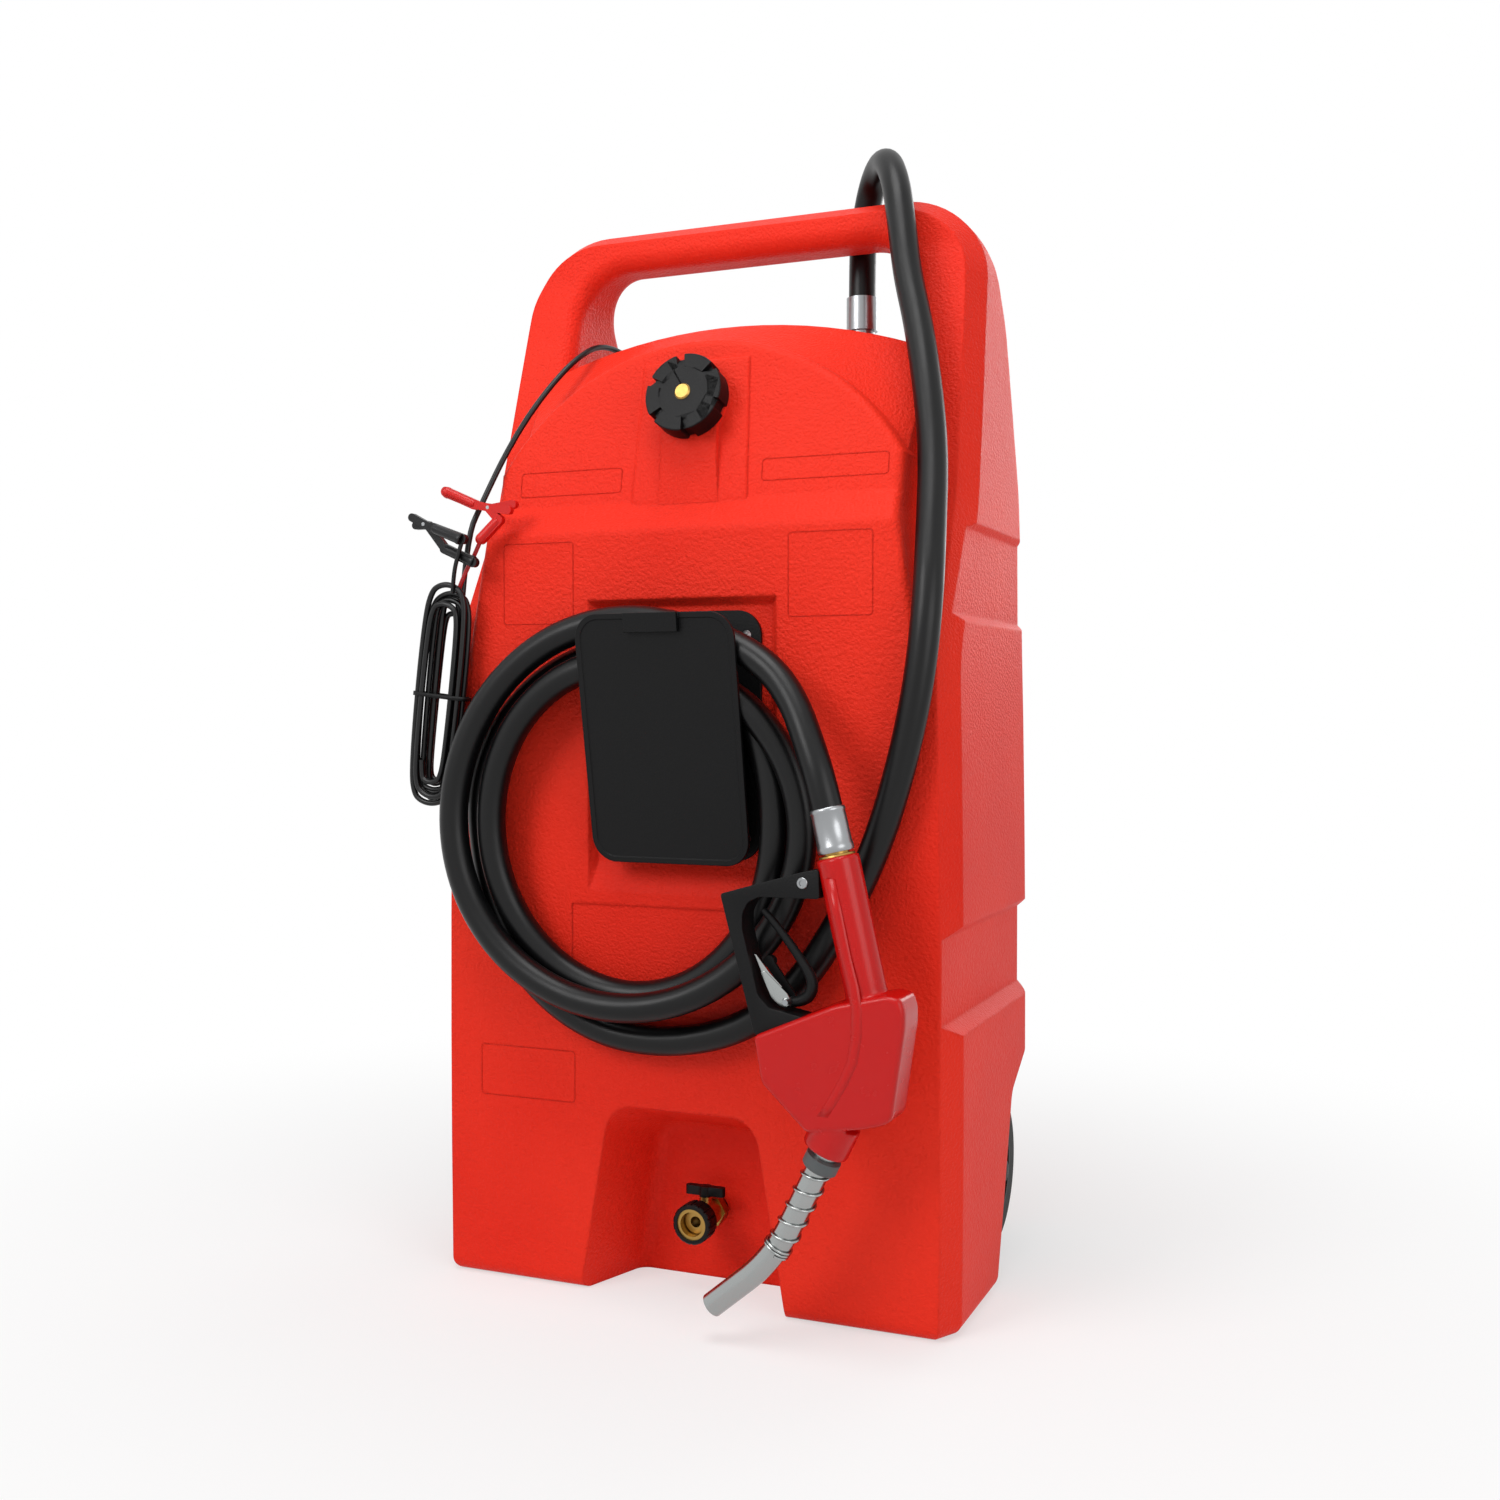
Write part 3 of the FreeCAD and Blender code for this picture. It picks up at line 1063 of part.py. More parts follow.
def rounded_plate(name, half, low, high, corner, start, end):
    """A plate with round corners, seen from the front."""
    plate = prism(name, "front", mirrored_outline([(half, low), (half, high)]), start, end)
    return rounded(name + "_corners", plate, corner,
                   lambda middle, box, edge: box.XLength < 0.1 and box.ZLength < 0.1)


def core_outline(half):
    """Half width, with a round top; the arcs are its second and third sides."""
    low, shoulder = s.core_low + s.core_half - half, s.core_high - s.core_half
    return [(half, low), (half, shoulder), (0, shoulder + half), (-half, shoulder), (-half, low)]


def leaning(name, half, low, high, front, thickness):
    """A leaning slab across the hanger, front measured from the plate's own front face."""
    def face(z):
        return -(s.plate_top_front - lean_slope * (s.plate_top - z)) + front
    return prism(name, "side", [(face(low), low), (face(high), high), (face(high) + thickness, high),
                                (face(low) + thickness, low)], -half, half)


flange = rounded_plate("hanger_flange", s.hanger_half, s.flange_low, s.flange_top, s.hanger_corner,
                       flange_front, flange_back)
core = prism("hanger_core", "front", core_outline(s.core_half), -s.core_reach, flange_back,
             {1: (s.core_half, 1), 2: (s.core_half, 1)})
hollow = prism("hanger_hollow", "front", core_outline(s.core_half - s.hanger_wall),
               -2 * s.core_reach, flange_back + 1, 
               {1: (s.core_half - s.hanger_wall, 1), 2: (s.core_half - s.hanger_wall, 1)})
beyond = leaning("beyond_plate", s.hanger_half, s.plate_low - s.core_half, s.plate_top + s.core_half,
                 s.plate_thickness - s.core_reach, s.core_reach)
screw_holes = []
screw_places = [(x, z) for x in (-s.flange_screw_x, s.flange_screw_x)
                for z in (s.flange_screw_low, s.flange_screw_high)]
for i, (x, z) in enumerate(screw_places):
    screw_holes.append(cylinder("flange_hole_" + str(i), s.screw_shank, s.flange_thickness + s.screw_bite,
                                point(x, flange_front, z), BACK))
hanger = cut("hanger_back_form", fuse("hanger_moulding", flange, core), hollow, beyond, *screw_holes)
node("hanger_back", hanger)
screws = []
for i, (x, z) in enumerate(screw_places):
    screws.append(turned("flange_screw_" + str(i),
                         [(0, 0), (s.screw_shank, 0), (s.screw_shank, s.flange_thickness + s.screw_bite),
                          (s.screw_head, s.flange_thickness + s.screw_bite),
                          (s.screw_shank, s.flange_thickness + s.screw_bite + s.screw_head_height),
                          (0, s.flange_thickness + s.screw_bite + s.screw_head_height)],
                         point(x, flange_back + s.screw_bite, z), FRONT))
screw_set = doc.addObject("Part::Compound", "hanger_screw_set")
screw_set.Links = screws
node("hanger_screws", screw_set)

plate = leaning("plate_slab", s.hanger_half, s.plate_low, s.plate_top, 0 * s.plate_lean, s.plate_thickness)
plate = rounded("plate_corners", plate, s.hanger_corner,
                lambda middle, box, edge: box.XLength < 0.1 and box.ZLength < 2)
field = leaning("plate_field", s.hanger_half - s.plate_rim, s.plate_low + s.plate_rim,
                s.plate_top - s.plate_rim, -s.plate_thickness, s.plate_thickness + s.plate_sunk)
field = rounded("field_corners", field, s.hanger_corner - s.plate_rim,
                lambda middle, box, edge: box.XLength < 0.1 and box.ZLength < 3)
lip = leaning("plate_lip", s.lip_half, s.plate_top - s.lip_height, s.plate_top, -s.lip_proud, s.lip_proud)
node("hanger_front", fuse("hanger_front_form", cut("plate_sunk_form", plate, field), lip))

# Drain valve, along the axis that leaves the alcove's back wall to the front.
def drain_at(y, z=0):
    return point(0, -s.alcove_back - y, s.drain_height + z)


node("drain_gasket", turned(
    "drain_seal", [(s.drain_thread, 0), (s.drain_hex / 2, 0), (s.drain_hex / 2, s.seal_thickness),
                   (s.drain_thread, s.seal_thickness)], drain_at(0), FRONT))
hex_end = s.seal_thickness + s.drain_hex_length
ball_y = hex_end + s.ball_radius + s.ball_wall
body_end = ball_y + s.ball_radius + s.ball_wall
tail_end = body_end + s.tail_length
valve = fuse(
    "valve_casting",
    cylinder("valve_thread", s.drain_thread, s.seal_thickness + s.thread_reach,
             drain_at(-s.thread_reach), FRONT),
    hexagon("valve_hex", s.drain_hex, s.drain_hex_length, drain_at(s.seal_thickness), FRONT),
    cylinder("valve_barrel", s.ball_radius + s.ball_wall, body_end - hex_end, drain_at(hex_end), FRONT),
    cylinder("valve_neck", s.stem_housing, s.stem_housing_top, drain_at(ball_y), UP),
    cylinder("valve_tail", s.tail_radius, s.tail_length, drain_at(body_end), FRONT),
    cylinder("valve_flange", s.tail_flange, s.tail_flange_width,
             drain_at(tail_end - s.tail_flange_width), FRONT))
ball_room = doc.addObject("Part::Sphere", "ball_room")
bind(ball_room, "Radius", s.ball_radius + s.ball_gap)
ball_room.Placement.Base = drain_at(ball_y)
valve = cut("drain_valve_form", valve, ball_room,
            cylinder("valve_bore", s.drain_bore, 2 * tail_end, drain_at(-tail_end), FRONT),
            cylinder("valve_stem_hole", s.stem_radius + s.pin_gap, s.ball_radius * 4, drain_at(ball_y), UP))
node("drain_body", valve)
ball = doc.addObject("Part::Sphere", "ball")
bind(ball, "Radius", s.ball_radius)
ball.Placement.Base = drain_at(ball_y)
ball = cut("ball_bored", ball, cylinder("ball_bore", s.drain_bore, s.ball_radius * 4,
                                        drain_at(ball_y) - RIGHT * number(s.ball_radius * 2), RIGHT))
stem = cylinder("ball_stem", s.stem_radius, s.lever_low + s.lever_hub_height - s.ball_wall - s.drain_bore,
                drain_at(ball_y, s.drain_bore), UP)
stem = cut("ball_stem_clear", stem, cylinder("stem_bore", s.drain_bore, s.ball_radius * 4,
                                             drain_at(ball_y) - RIGHT * number(s.ball_radius * 2), RIGHT))
node("drain_ball", fuse("drain_ball_form", ball, stem))
lever_hub = cylinder("lever_hub", s.lever_hub, s.lever_hub_height, drain_at(ball_y, s.lever_low), UP)
wings = []
for side in (-1, 1):
    span = sorted((side * number(s.lever_reach), side * number(s.lever_hub / 2)))
    wing = block("lever_wing_" + ("left" if side < 0 else "right"),
                 (span[0], -s.alcove_back - ball_y - s.wing_width / 2, s.drain_height + s.lever_low + 1),
                 (span[1], -s.alcove_back - ball_y + s.wing_width / 2,
                  s.drain_height + s.lever_low + s.lever_hub_height))
    wings.append(rounded(wing.Name + "_round", wing, s.wing_width / 2 - 0.5,
                         lambda middle, box, edge: is_along(box, "z", 2)
                         and abs(middle.x) > number(s.lever_reach) - 1))
lever = cut("drain_lever_form", fuse("lever_solid", lever_hub, *wings),
            cylinder("lever_socket", s.stem_radius, s.lever_hub_height - s.ball_wall,
                     drain_at(ball_y, s.lever_low - 0.001), UP))
node("drain_lever", lever)
nut_start = body_end + s.nut_gap
collar = turned("collar_form", [(s.collar_inner, 0), (s.collar_outer - s.collar_edge, 0),
                                (s.collar_outer, s.collar_edge),
                                (s.collar_outer, s.collar_width - s.collar_edge),
                                (s.collar_outer - s.collar_edge, s.collar_width),
                                (s.collar_inner, s.collar_width)], drain_at(nut_start), FRONT)
groove = cylinder("collar_groove", s.groove_radius, 2 * s.collar_width,
                  drain_at(nut_start - s.collar_width / 2, s.collar_outer), FRONT)
node("drain_collar", cut("drain_collar_form", collar,
                         ring_of("collar_grooves", groove, s.groove_count, drain_at(0), FRONT)))
thread_end = 2 * s.nut_lip + 1 + s.relief_length
node("drain_nut", turned("nut_form",
                         [(s.tail_radius + s.pin_gap, s.nut_lip), (s.collar_inner, s.nut_lip),
                          (s.collar_inner, s.collar_width - s.nut_lip),
                          (s.nut_bore, s.collar_width - s.nut_lip), (s.nut_bore, thread_end),
                          (s.nut_relief, thread_end), (s.nut_relief, 2 * s.nut_lip + 1),
                          (s.tail_radius + s.pin_gap, 2 * s.nut_lip + 1)], drain_at(nut_start), FRONT))
drain_hole = cylinder("drain_hole", s.drain_thread, s.tank_wall * 2, drain_at(-2 * s.tank_wall), FRONT)

# Filler cap with its seal and vent pin, along the filler's axis.
def cap_at(distance):
    return cap_seat + cap_axis * number(distance)


shell = turned("cap_shell",
               [(s.cap_inner, s.cap_lift_gap), (s.cap_disc, s.cap_lift_gap),
                (s.cap_disc, s.cap_height - s.cap_edge), (s.cap_disc - s.cap_edge, s.cap_height),
                (s.cap_recess, s.cap_height), (s.cap_recess, s.cap_height - s.cap_recess_depth),
                (s.pin_stem + s.pin_gap, s.cap_height - s.cap_recess_depth),
                (s.pin_stem + s.pin_gap, s.cap_depth_inside), (s.cap_inner, s.cap_depth_inside)],
               cap_at(0), cap_axis, {2: (s.cap_edge, 1)})
lug = block("cap_lug", (-s.lug_half, s.cap_disc - 2, s.cap_lift_gap + 1),
            (s.lug_half, s.cap_outer, s.cap_height - 2))
lug = rounded("cap_lug_round", lug, s.lug_round,
              lambda middle, box, edge: is_along(box, "z", 10) and middle.y > number(s.cap_disc))
lugs = ring_of("cap_lugs", lug, s.lug_count, V(0, 0, 0), UP)
lugs.Placement = placed(cap_at(0), cap_axis)
doc.recompute()
node("filler_cap", fuse("filler_cap_form", shell, lugs))
node("cap_seal", turned("seal_ring",
                        [(s.filler_radius, s.neck_length + s.cap_lift_gap),
                         (s.cap_inner - s.cap_lift_gap, s.neck_length + s.cap_lift_gap),
                         (s.cap_inner - s.cap_lift_gap, s.cap_depth_inside - s.cap_lift_gap),
                         (s.filler_radius, s.cap_depth_inside - s.cap_lift_gap)], cap_at(0), cap_axis))
pin_foot = s.cap_depth_inside - 1
node("vent_pin", turned("vent_pin_form",
                        [(0, pin_foot), (s.pin_stem, pin_foot),
                         (s.pin_stem, s.cap_height - s.cap_recess_depth + s.cap_lift_gap),
                         (s.pin_head, s.cap_height - s.cap_recess_depth + s.cap_lift_gap),
                         (s.pin_head, s.cap_height + s.pin_proud - s.pin_chamfer),
                         (s.pin_head - s.pin_chamfer, s.cap_height + s.pin_proud),
                         (0, s.cap_height + s.pin_proud)], cap_at(0), cap_axis))

# Transfer pump on the shelf behind the dome.
def pump_at(x, y=0, z=0):
    return point(s.pump_x + x, s.pump_y + y, s.shelf_height + z)


axis_z = s.pump_axis_height
foot = rounded("pump_foot", block("pump_plate", (s.pump_x - s.pump_foot_half, s.pump_y - s.pump_foot_half,
                                                 s.shelf_height),
                                  (s.pump_x + s.pump_foot_half, s.pump_y + s.pump_foot_half,
                                   s.shelf_height + s.pump_foot_thickness)), s.pump_foot_corner,
               lambda middle, box, edge: is_along(box, "z", 5))
head = cylinder("pump_head", s.pump_head_radius, 2 * s.pump_head_half, pump_at(-s.pump_head_half, 0, axis_z),
                RIGHT)
pump = fuse("pump_casting", foot, head,
            cylinder("pump_neck", s.pump_neck, axis_z, pump_at(0), UP),
            cylinder("pump_spigot", s.bung_radius, s.spigot_depth, pump_at(0, 0, -s.spigot_depth), UP),
            cylinder("pump_outlet", s.outlet_boss, s.outlet_top - axis_z, pump_at(0, 0, axis_z), UP))
chamber = cylinder("pump_chamber", s.chamber_radius, 2 * s.pump_head_half - s.pump_back_wall,
                   pump_at(s.pump_back_wall - s.pump_head_half, 0, axis_z - s.rotor_offset), RIGHT)
bolt_places = [(x * number(s.pump_bolt_half), y * number(s.pump_bolt_half)) for x in (-1, 1) for y in (-1, 1)]
bolt_holes = [cylinder("pump_bolt_hole_" + str(i), s.pump_bolt_radius, s.pump_foot_thickness + s.screw_bite,
                       pump_at(x, y, -s.screw_bite), UP) for i, (x, y) in enumerate(bolt_places)]
cover_hole = cylinder("cover_hole", s.screw_shank, s.cover_thickness + s.cover_bite,
                      pump_at(s.pump_head_half - s.cover_bite, 0, axis_z + s.cover_screw_circle), RIGHT)
cover_holes = ring_of("cover_holes", cover_hole, s.cover_screw_count, pump_at(0, 0, axis_z), RIGHT, 30)
pump = cut("pump_body_form", pump, chamber, cover_holes, *bolt_holes,
           cylinder("pump_inlet_bore", s.pump_port, axis_z, pump_at(0), UP),
           cylinder("pump_pipe_seat", s.pipe_radius, s.spigot_depth + s.pipe_seat_depth,
                    pump_at(0, 0, -s.spigot_depth), UP),
           cylinder("pump_outlet_bore", s.pump_port, s.outlet_top, pump_at(0, 0, axis_z), UP),
           cylinder("pump_outlet_thread", s.outlet_thread, s.outlet_thread_depth,
                    pump_at(0, 0, s.outlet_top - s.outlet_thread_depth), UP),
           cylinder("pump_shaft_hole", s.shaft_radius + s.pin_gap, s.pump_head_half * 2,
                    pump_at(-2 * s.pump_head_half, 0, axis_z), RIGHT))
node("pump_body", pump)
cover = cut("pump_cover_form",
            cylinder("cover_disc", s.pump_head_radius, s.cover_thickness,
                     pump_at(s.pump_head_half, 0, axis_z),
                     RIGHT), cover_holes)
node("pump_cover", cover)
cover_screw = turned("cover_screw",
                     [(0, 0), (s.screw_shank, 0), (s.screw_shank, s.cover_thickness + s.cover_bite),
                      (s.screw_head * 0.8, s.cover_thickness + s.cover_bite),
                      (s.screw_head * 0.8, s.cover_thickness + s.cover_bite + s.screw_head_height),
                      (0, s.cover_thickness + s.cover_bite + s.screw_head_height)],
                     pump_at(s.pump_head_half - s.cover_bite, 0, axis_z + s.cover_screw_circle), RIGHT)
node("cover_screws", ring_of("cover_screw_ring", cover_screw, s.cover_screw_count, pump_at(0, 0, axis_z),
                             RIGHT, 30))
bolts = doc.addObject("Part::Compound", "pump_bolt_set")
bolts.Links = [fuse("pump_bolt_" + str(i),
                    cylinder("bolt_shank_" + str(i), s.pump_bolt_radius, s.pump_foot_thickness + s.screw_bite,
                             pump_at(x, y, -s.screw_bite), UP),
                    hexagon("bolt_head_" + str(i), s.pump_bolt_flats, s.pump_bolt_head,
                            pump_at(x, y, s.pump_foot_thickness), UP))
               for i, (x, y) in enumerate(bolt_places)]
node("pump_bolts", bolts)
rotor_start = s.pump_back_wall - s.pump_head_half + s.side_gap
rotor_length = 2 * s.pump_head_half - s.pump_back_wall - 2 * s.side_gap
rotor_round = cylinder("rotor_drum", s.rotor_radius, rotor_length, pump_at(rotor_start, 0, axis_z), RIGHT)
shaft = cylinder("rotor_shaft", s.shaft_radius, 2 * s.pump_head_half,
                 pump_at(-2 * s.pump_head_half, 0, axis_z),
                 RIGHT)
vane = block("vane", (s.pump_x + rotor_start, s.pump_y - s.vane_thickness / 2,
                      s.shelf_height + axis_z + s.vane_foot),
             (s.pump_x + rotor_start + rotor_length, s.pump_y + s.vane_thickness / 2,
              s.shelf_height + axis_z + s.chamber_radius - s.rotor_offset - s.side_gap))
vanes = ring_of("vane_ring", vane, s.vane_count, pump_at(0, 0, axis_z), RIGHT)
node("rotor_vanes", vanes)
node("pump_rotor", cut("pump_rotor_form", fuse("rotor_solid", rotor_round, shaft), vanes))

motor_start = -s.pump_head_half - s.motor_length
motor = fuse("motor_solid",
             cylinder("motor_barrel", s.motor_radius, s.motor_length, pump_at(motor_start, 0, axis_z), RIGHT),
             cylinder("motor_flange", s.pump_head_radius, s.cover_thickness,
                      pump_at(-s.pump_head_half - s.cover_thickness, 0, axis_z), RIGHT),
             block("motor_saddle", (s.saddle_low, s.pump_y - s.saddle_half, s.shelf_height),
                   (s.saddle_high, s.pump_y + s.saddle_half, s.shelf_height + axis_z / 2)),
             block("motor_pad", (s.box_low, s.pump_y - s.saddle_half, s.shelf_height + axis_z),
                   (s.box_high, s.pump_y + s.saddle_half, s.shelf_height + axis_z + s.motor_radius)))
motor = cut("motor_form", motor, cylinder("motor_shaft_hole", s.shaft_radius + s.pin_gap,
                                          s.pump_head_half + s.side_gap,
                                          pump_at(-2 * s.pump_head_half - s.side_gap, 0, axis_z), RIGHT))
node("motor_housing", motor)
node("motor_cap", turned("motor_cap_form",
                         [(0, 0), (s.pump_head_radius, 0), (s.pump_head_radius, s.motor_cap_length / 2),
                          (s.motor_radius - s.cap_edge, s.motor_cap_length), (0, s.motor_cap_length)],
                         pump_at(motor_start, 0, axis_z), LEFT))
box_base = s.shelf_height + axis_z + s.motor_radius
switch_box = block("box_solid", (s.box_low, s.pump_y - s.box_half, box_base),
                   (s.box_high, s.pump_y + s.box_half, box_base + s.box_height))
switch_box = rounded("box_round", switch_box, s.box_corner,
                     lambda middle, box, edge: is_along(box, "z", 10)
                     or middle.z > number(box_base + s.box_height) - 0.1)
rocker_x = (s.box_low + s.box_high) / 2
well = block("rocker_well", (rocker_x - s.rocker_half - s.rocker_play,
                             s.pump_y - s.rocker_half_width - s.side_gap,
                             box_base + s.box_height - s.rocker_depth),
             (rocker_x + s.rocker_half + s.rocker_play, s.pump_y + s.rocker_half_width + s.side_gap,
              box_base + s.box_height + 1))
gland_z = box_base + s.box_height / 2
gland_hole = cylinder("gland_hole", s.gland_thread, s.gland_length, point(s.box_low - 1, s.pump_y, gland_z),
                      RIGHT)
node("switch_box", cut("switch_box_form", switch_box, well, gland_hole))
rocker = block("rocker_block", (rocker_x - s.rocker_half, s.pump_y - s.rocker_half_width,
                                box_base + s.box_height - s.rocker_depth / 2),
               (rocker_x + s.rocker_half, s.pump_y + s.rocker_half_width,
                box_base + s.box_height + s.rocker_depth / 3))
node("switch_rocker", rounded("switch_rocker_form", rocker, 1.5,
                              lambda middle, box, edge: is_along(box, "y", 5)))
gland = fuse("gland_solid",
             cylinder("gland_thread_form", s.gland_thread, s.gland_length - 1,
                      point(s.box_low, s.pump_y, gland_z),
                      RIGHT),
             hexagon("gland_hex", s.gland_flats, s.gland_hex_length,
                     point(s.box_low, s.pump_y, gland_z), LEFT),
             cylinder("gland_nose", s.gland_thread, s.gland_hex_length,
                      point(s.box_low - s.gland_hex_length, s.pump_y, gland_z), LEFT))
gland = cut("gland_form", gland,
            cylinder("gland_bore", s.cable_radius, s.gland_hex_length * 2 + s.gland_length,
                     point(s.box_low - s.gland_hex_length * 2, s.pump_y, gland_z), RIGHT))
node("cable_gland", gland)
node("suction_pipe", turned("pipe_form", [(s.pipe_radius - s.pipe_wall, 0), (s.pipe_radius, 0),
                                          (s.pipe_radius, s.shelf_height + s.pipe_seat_depth - s.pipe_foot),
                                          (s.pipe_radius - s.pipe_wall,
                                           s.shelf_height + s.pipe_seat_depth - s.pipe_foot)],
                            point(s.pump_x, s.pump_y, s.pipe_foot), UP))
node("suction_strainer", turned("strainer_form",
                                [(0, 0), (s.strainer_radius, 0), (s.strainer_radius, s.strainer_height),
                                 (s.pipe_radius, s.strainer_height + s.pipe_wall),
                                 (s.pipe_radius, s.pipe_foot - s.strainer_foot),
                                 (0, s.pipe_foot - s.strainer_foot)],
                                point(s.pump_x, s.pump_y, s.strainer_foot), UP))
outlet_z = s.outlet_top
fitting = fuse("fitting_solid",
               cylinder("fitting_thread", s.outlet_thread, s.outlet_thread_depth + 1,
                        pump_at(0, 0, outlet_z - s.outlet_thread_depth), UP),
               hexagon("fitting_hex", s.fitting_flats, s.fitting_hex_length, pump_at(0, 0, outlet_z), UP),
               cylinder("fitting_neck", s.hose_radius - 1, s.fitting_neck_length,
                        pump_at(0, 0, outlet_z + s.fitting_hex_length), UP),
               cylinder("fitting_tail", s.hose_radius, s.hose_inset,
                        pump_at(0, 0, outlet_z + s.fitting_hex_length + s.fitting_neck_length), UP))
fitting_top = outlet_z + s.fitting_hex_length + s.fitting_neck_length
node("outlet_fitting", cut("fitting_form", fitting,
                           cylinder("fitting_bore", s.pump_port, fitting_top + s.hose_inset,
                                    pump_at(0, 0, axis_z), UP)))
node("pump_ferrule", turned("pump_ferrule_form",
                            [(s.hose_radius, 0), (s.ferrule_radius, 0), (s.ferrule_radius, s.ferrule_length),
                             (s.hose_radius, s.ferrule_length)], pump_at(0, 0, fitting_top), UP))
bung_hole = cylinder("bung_hole", s.bung_radius, 2 * s.tank_wall, pump_at(0, 0, -2 * s.tank_wall), UP)
node("tank_shell", cut("tank_holed", tank, drain_hole, bung_hole, *bolt_holes, *screw_holes))


# Hose, nozzle, cable and clips. Routes are points in millimetres that the tubes follow with straight
# runs and tangent arcs.


def tube(name, points, radius, section=None, checked=True):
    """A tube or bar along straight runs joined by tangent arcs."""
    ways = [V(*p) for p in points]
    runs = [(b - a).Length for a, b in zip(ways, ways[1:])]
    edges, radii, last = [], [], ways[0]
    for i in range(1, len(ways) - 1):
        before, after = (ways[i - 1] - ways[i]).normalize(), (ways[i + 1] - ways[i]).normalize()
        half_turn = (math.pi - before.getAngle(after)) / 2
        reach = ARC_SHARE * min(runs[i - 1], runs[i])
        radii.append(reach / math.tan(half_turn))
        enter, leave = ways[i] + before * reach, ways[i] + after * reach
        bisector = (before + after).normalize()
        centre = ways[i] + bisector * (radii[-1] / math.cos(half_turn))
        middle = centre - bisector * radii[-1]
        edges.append(Part.LineSegment(last, enter).toShape())
        edges.append(Part.Arc(enter, middle, leave).toShape())
        last = leave
    edges.append(Part.LineSegment(last, ways[-1]).toShape())
    route = doc.addObject("Part::Feature", name + "_route")
    route.Shape = Part.Wire(edges)
    start = doc.addObject("Part::Circle", name + "_section")
    bind(start, "Radius", radius)
    start.Placement = placed(ways[0], ways[1] - ways[0])
    sweep = doc.addObject("Part::Sweep", name)
    sweep.Sections = [start]
    sweep.Spine = (route, ["Edge" + str(i + 1) for i in range(len(edges))])
    sweep.Solid = True
    sweep.Frenet = False
    doc.recompute()
    length = route.Shape.Length
    expected = math.pi * number(radius) ** 2 * length
    print("%s: length %.0f, tightest radius %.0f, volume over section times length %.4f"
          % (name, length, min(radii) if radii else 0, sweep.Shape.Volume / expected))
    return sweep


def strip(name, a, b, half_width, start, end):
    """A bar with round ends in the plane seen from the front, from one point to another."""
    way = V(b[0] - a[0], b[1] - a[1], 0).normalize()
    left, w = V(-way.y, way.x, 0), number(half_width)
    tip_a, tip_b = V(a[0], a[1], 0) - way * w, V(b[0], b[1], 0) + way * w
    corners = [V(a[0], a[1], 0) - left * w, V(b[0], b[1], 0) - left * w, tip_b,
               V(b[0], b[1], 0) + left * w, V(a[0], a[1], 0) + left * w, tip_a]
    return prism(name, "front", [(p.x, p.y) for p in corners], start, end,
                 {1: (w, 1), 2: (w, 1), 4: (w, 1), 5: (w, 1)})


hose = tube("fuel_hose_form", HOSE_ROUTE, s.hose_radius)
node("fuel_hose", hose)
node("hose_tail", tube("hose_tail_form", TAIL_ROUTE, s.hose_radius))


def oval(name, x, z, half_width, half_height, start, end):
    """An upright oval seen from the front, pulled straight."""
    outline = doc.addObject("Part::Ellipse", name + "_outline")
    tall = number(half_height) > number(half_width)
    bind(outline, "MajorRadius", half_height if tall else half_width)
    bind(outline, "MinorRadius", half_width if tall else half_height)
    turn = FreeCAD.Rotation(RIGHT, 90).multiply(FreeCAD.Rotation(UP, 90 if tall else 0))
    outline.Placement = FreeCAD.Placement(point(x, start, z), turn)
    face = doc.addObject("Part::Face", name + "_face")
    face.Sources = [outline]
    pulled = doc.addObject("Part::Extrusion", name)
    pulled.Base = face
    pulled.DirMode = "Custom"
    pulled.Dir = BACK
    pulled.Solid = True
    bind(pulled, "LengthFwd", end - start)
    doc.recompute()
    return pulled


coil = cut("hose_coil_form",
           oval("coil_outer", s.coil_x, s.coil_z, s.coil_half_width, s.coil_half_height, -s.coil_front,
                -s.coil_back),
           oval("coil_inner", s.coil_hole_x, s.coil_hole_z, s.coil_hole_half_width, s.coil_hole_half_height,
                -s.coil_front - 1, -s.coil_back + 1),
           leaning("plate_room", s.hanger_half + s.coil_gap, s.plate_low - s.coil_half_height / 2,
                   s.plate_top + s.coil_half_height, -s.core_reach, s.core_reach + s.plate_thickness
                   + s.coil_gap))
node("hose_coil", coil)

# Nozzle. The grip's axis leans; everything is drawn in the upright plane through it.
grip_way = V(math.sin(math.radians(number(s.grip_lean))), 0, -math.cos(math.radians(number(s.grip_lean))))
grip_top = point(s.grip_top_x, -s.nozzle_front, s.grip_top_z)


def on_grip(distance, across=0):
    """A point in the nozzle's plane, along the grip's axis and across it."""
    p = grip_top + grip_way * number(distance) + V(-grip_way.z, 0, grip_way.x) * number(across)
    return p


def layer(half):
    """Front and back of a layer about the nozzle's plane."""
    return -s.nozzle_front - half, -s.nozzle_front + half


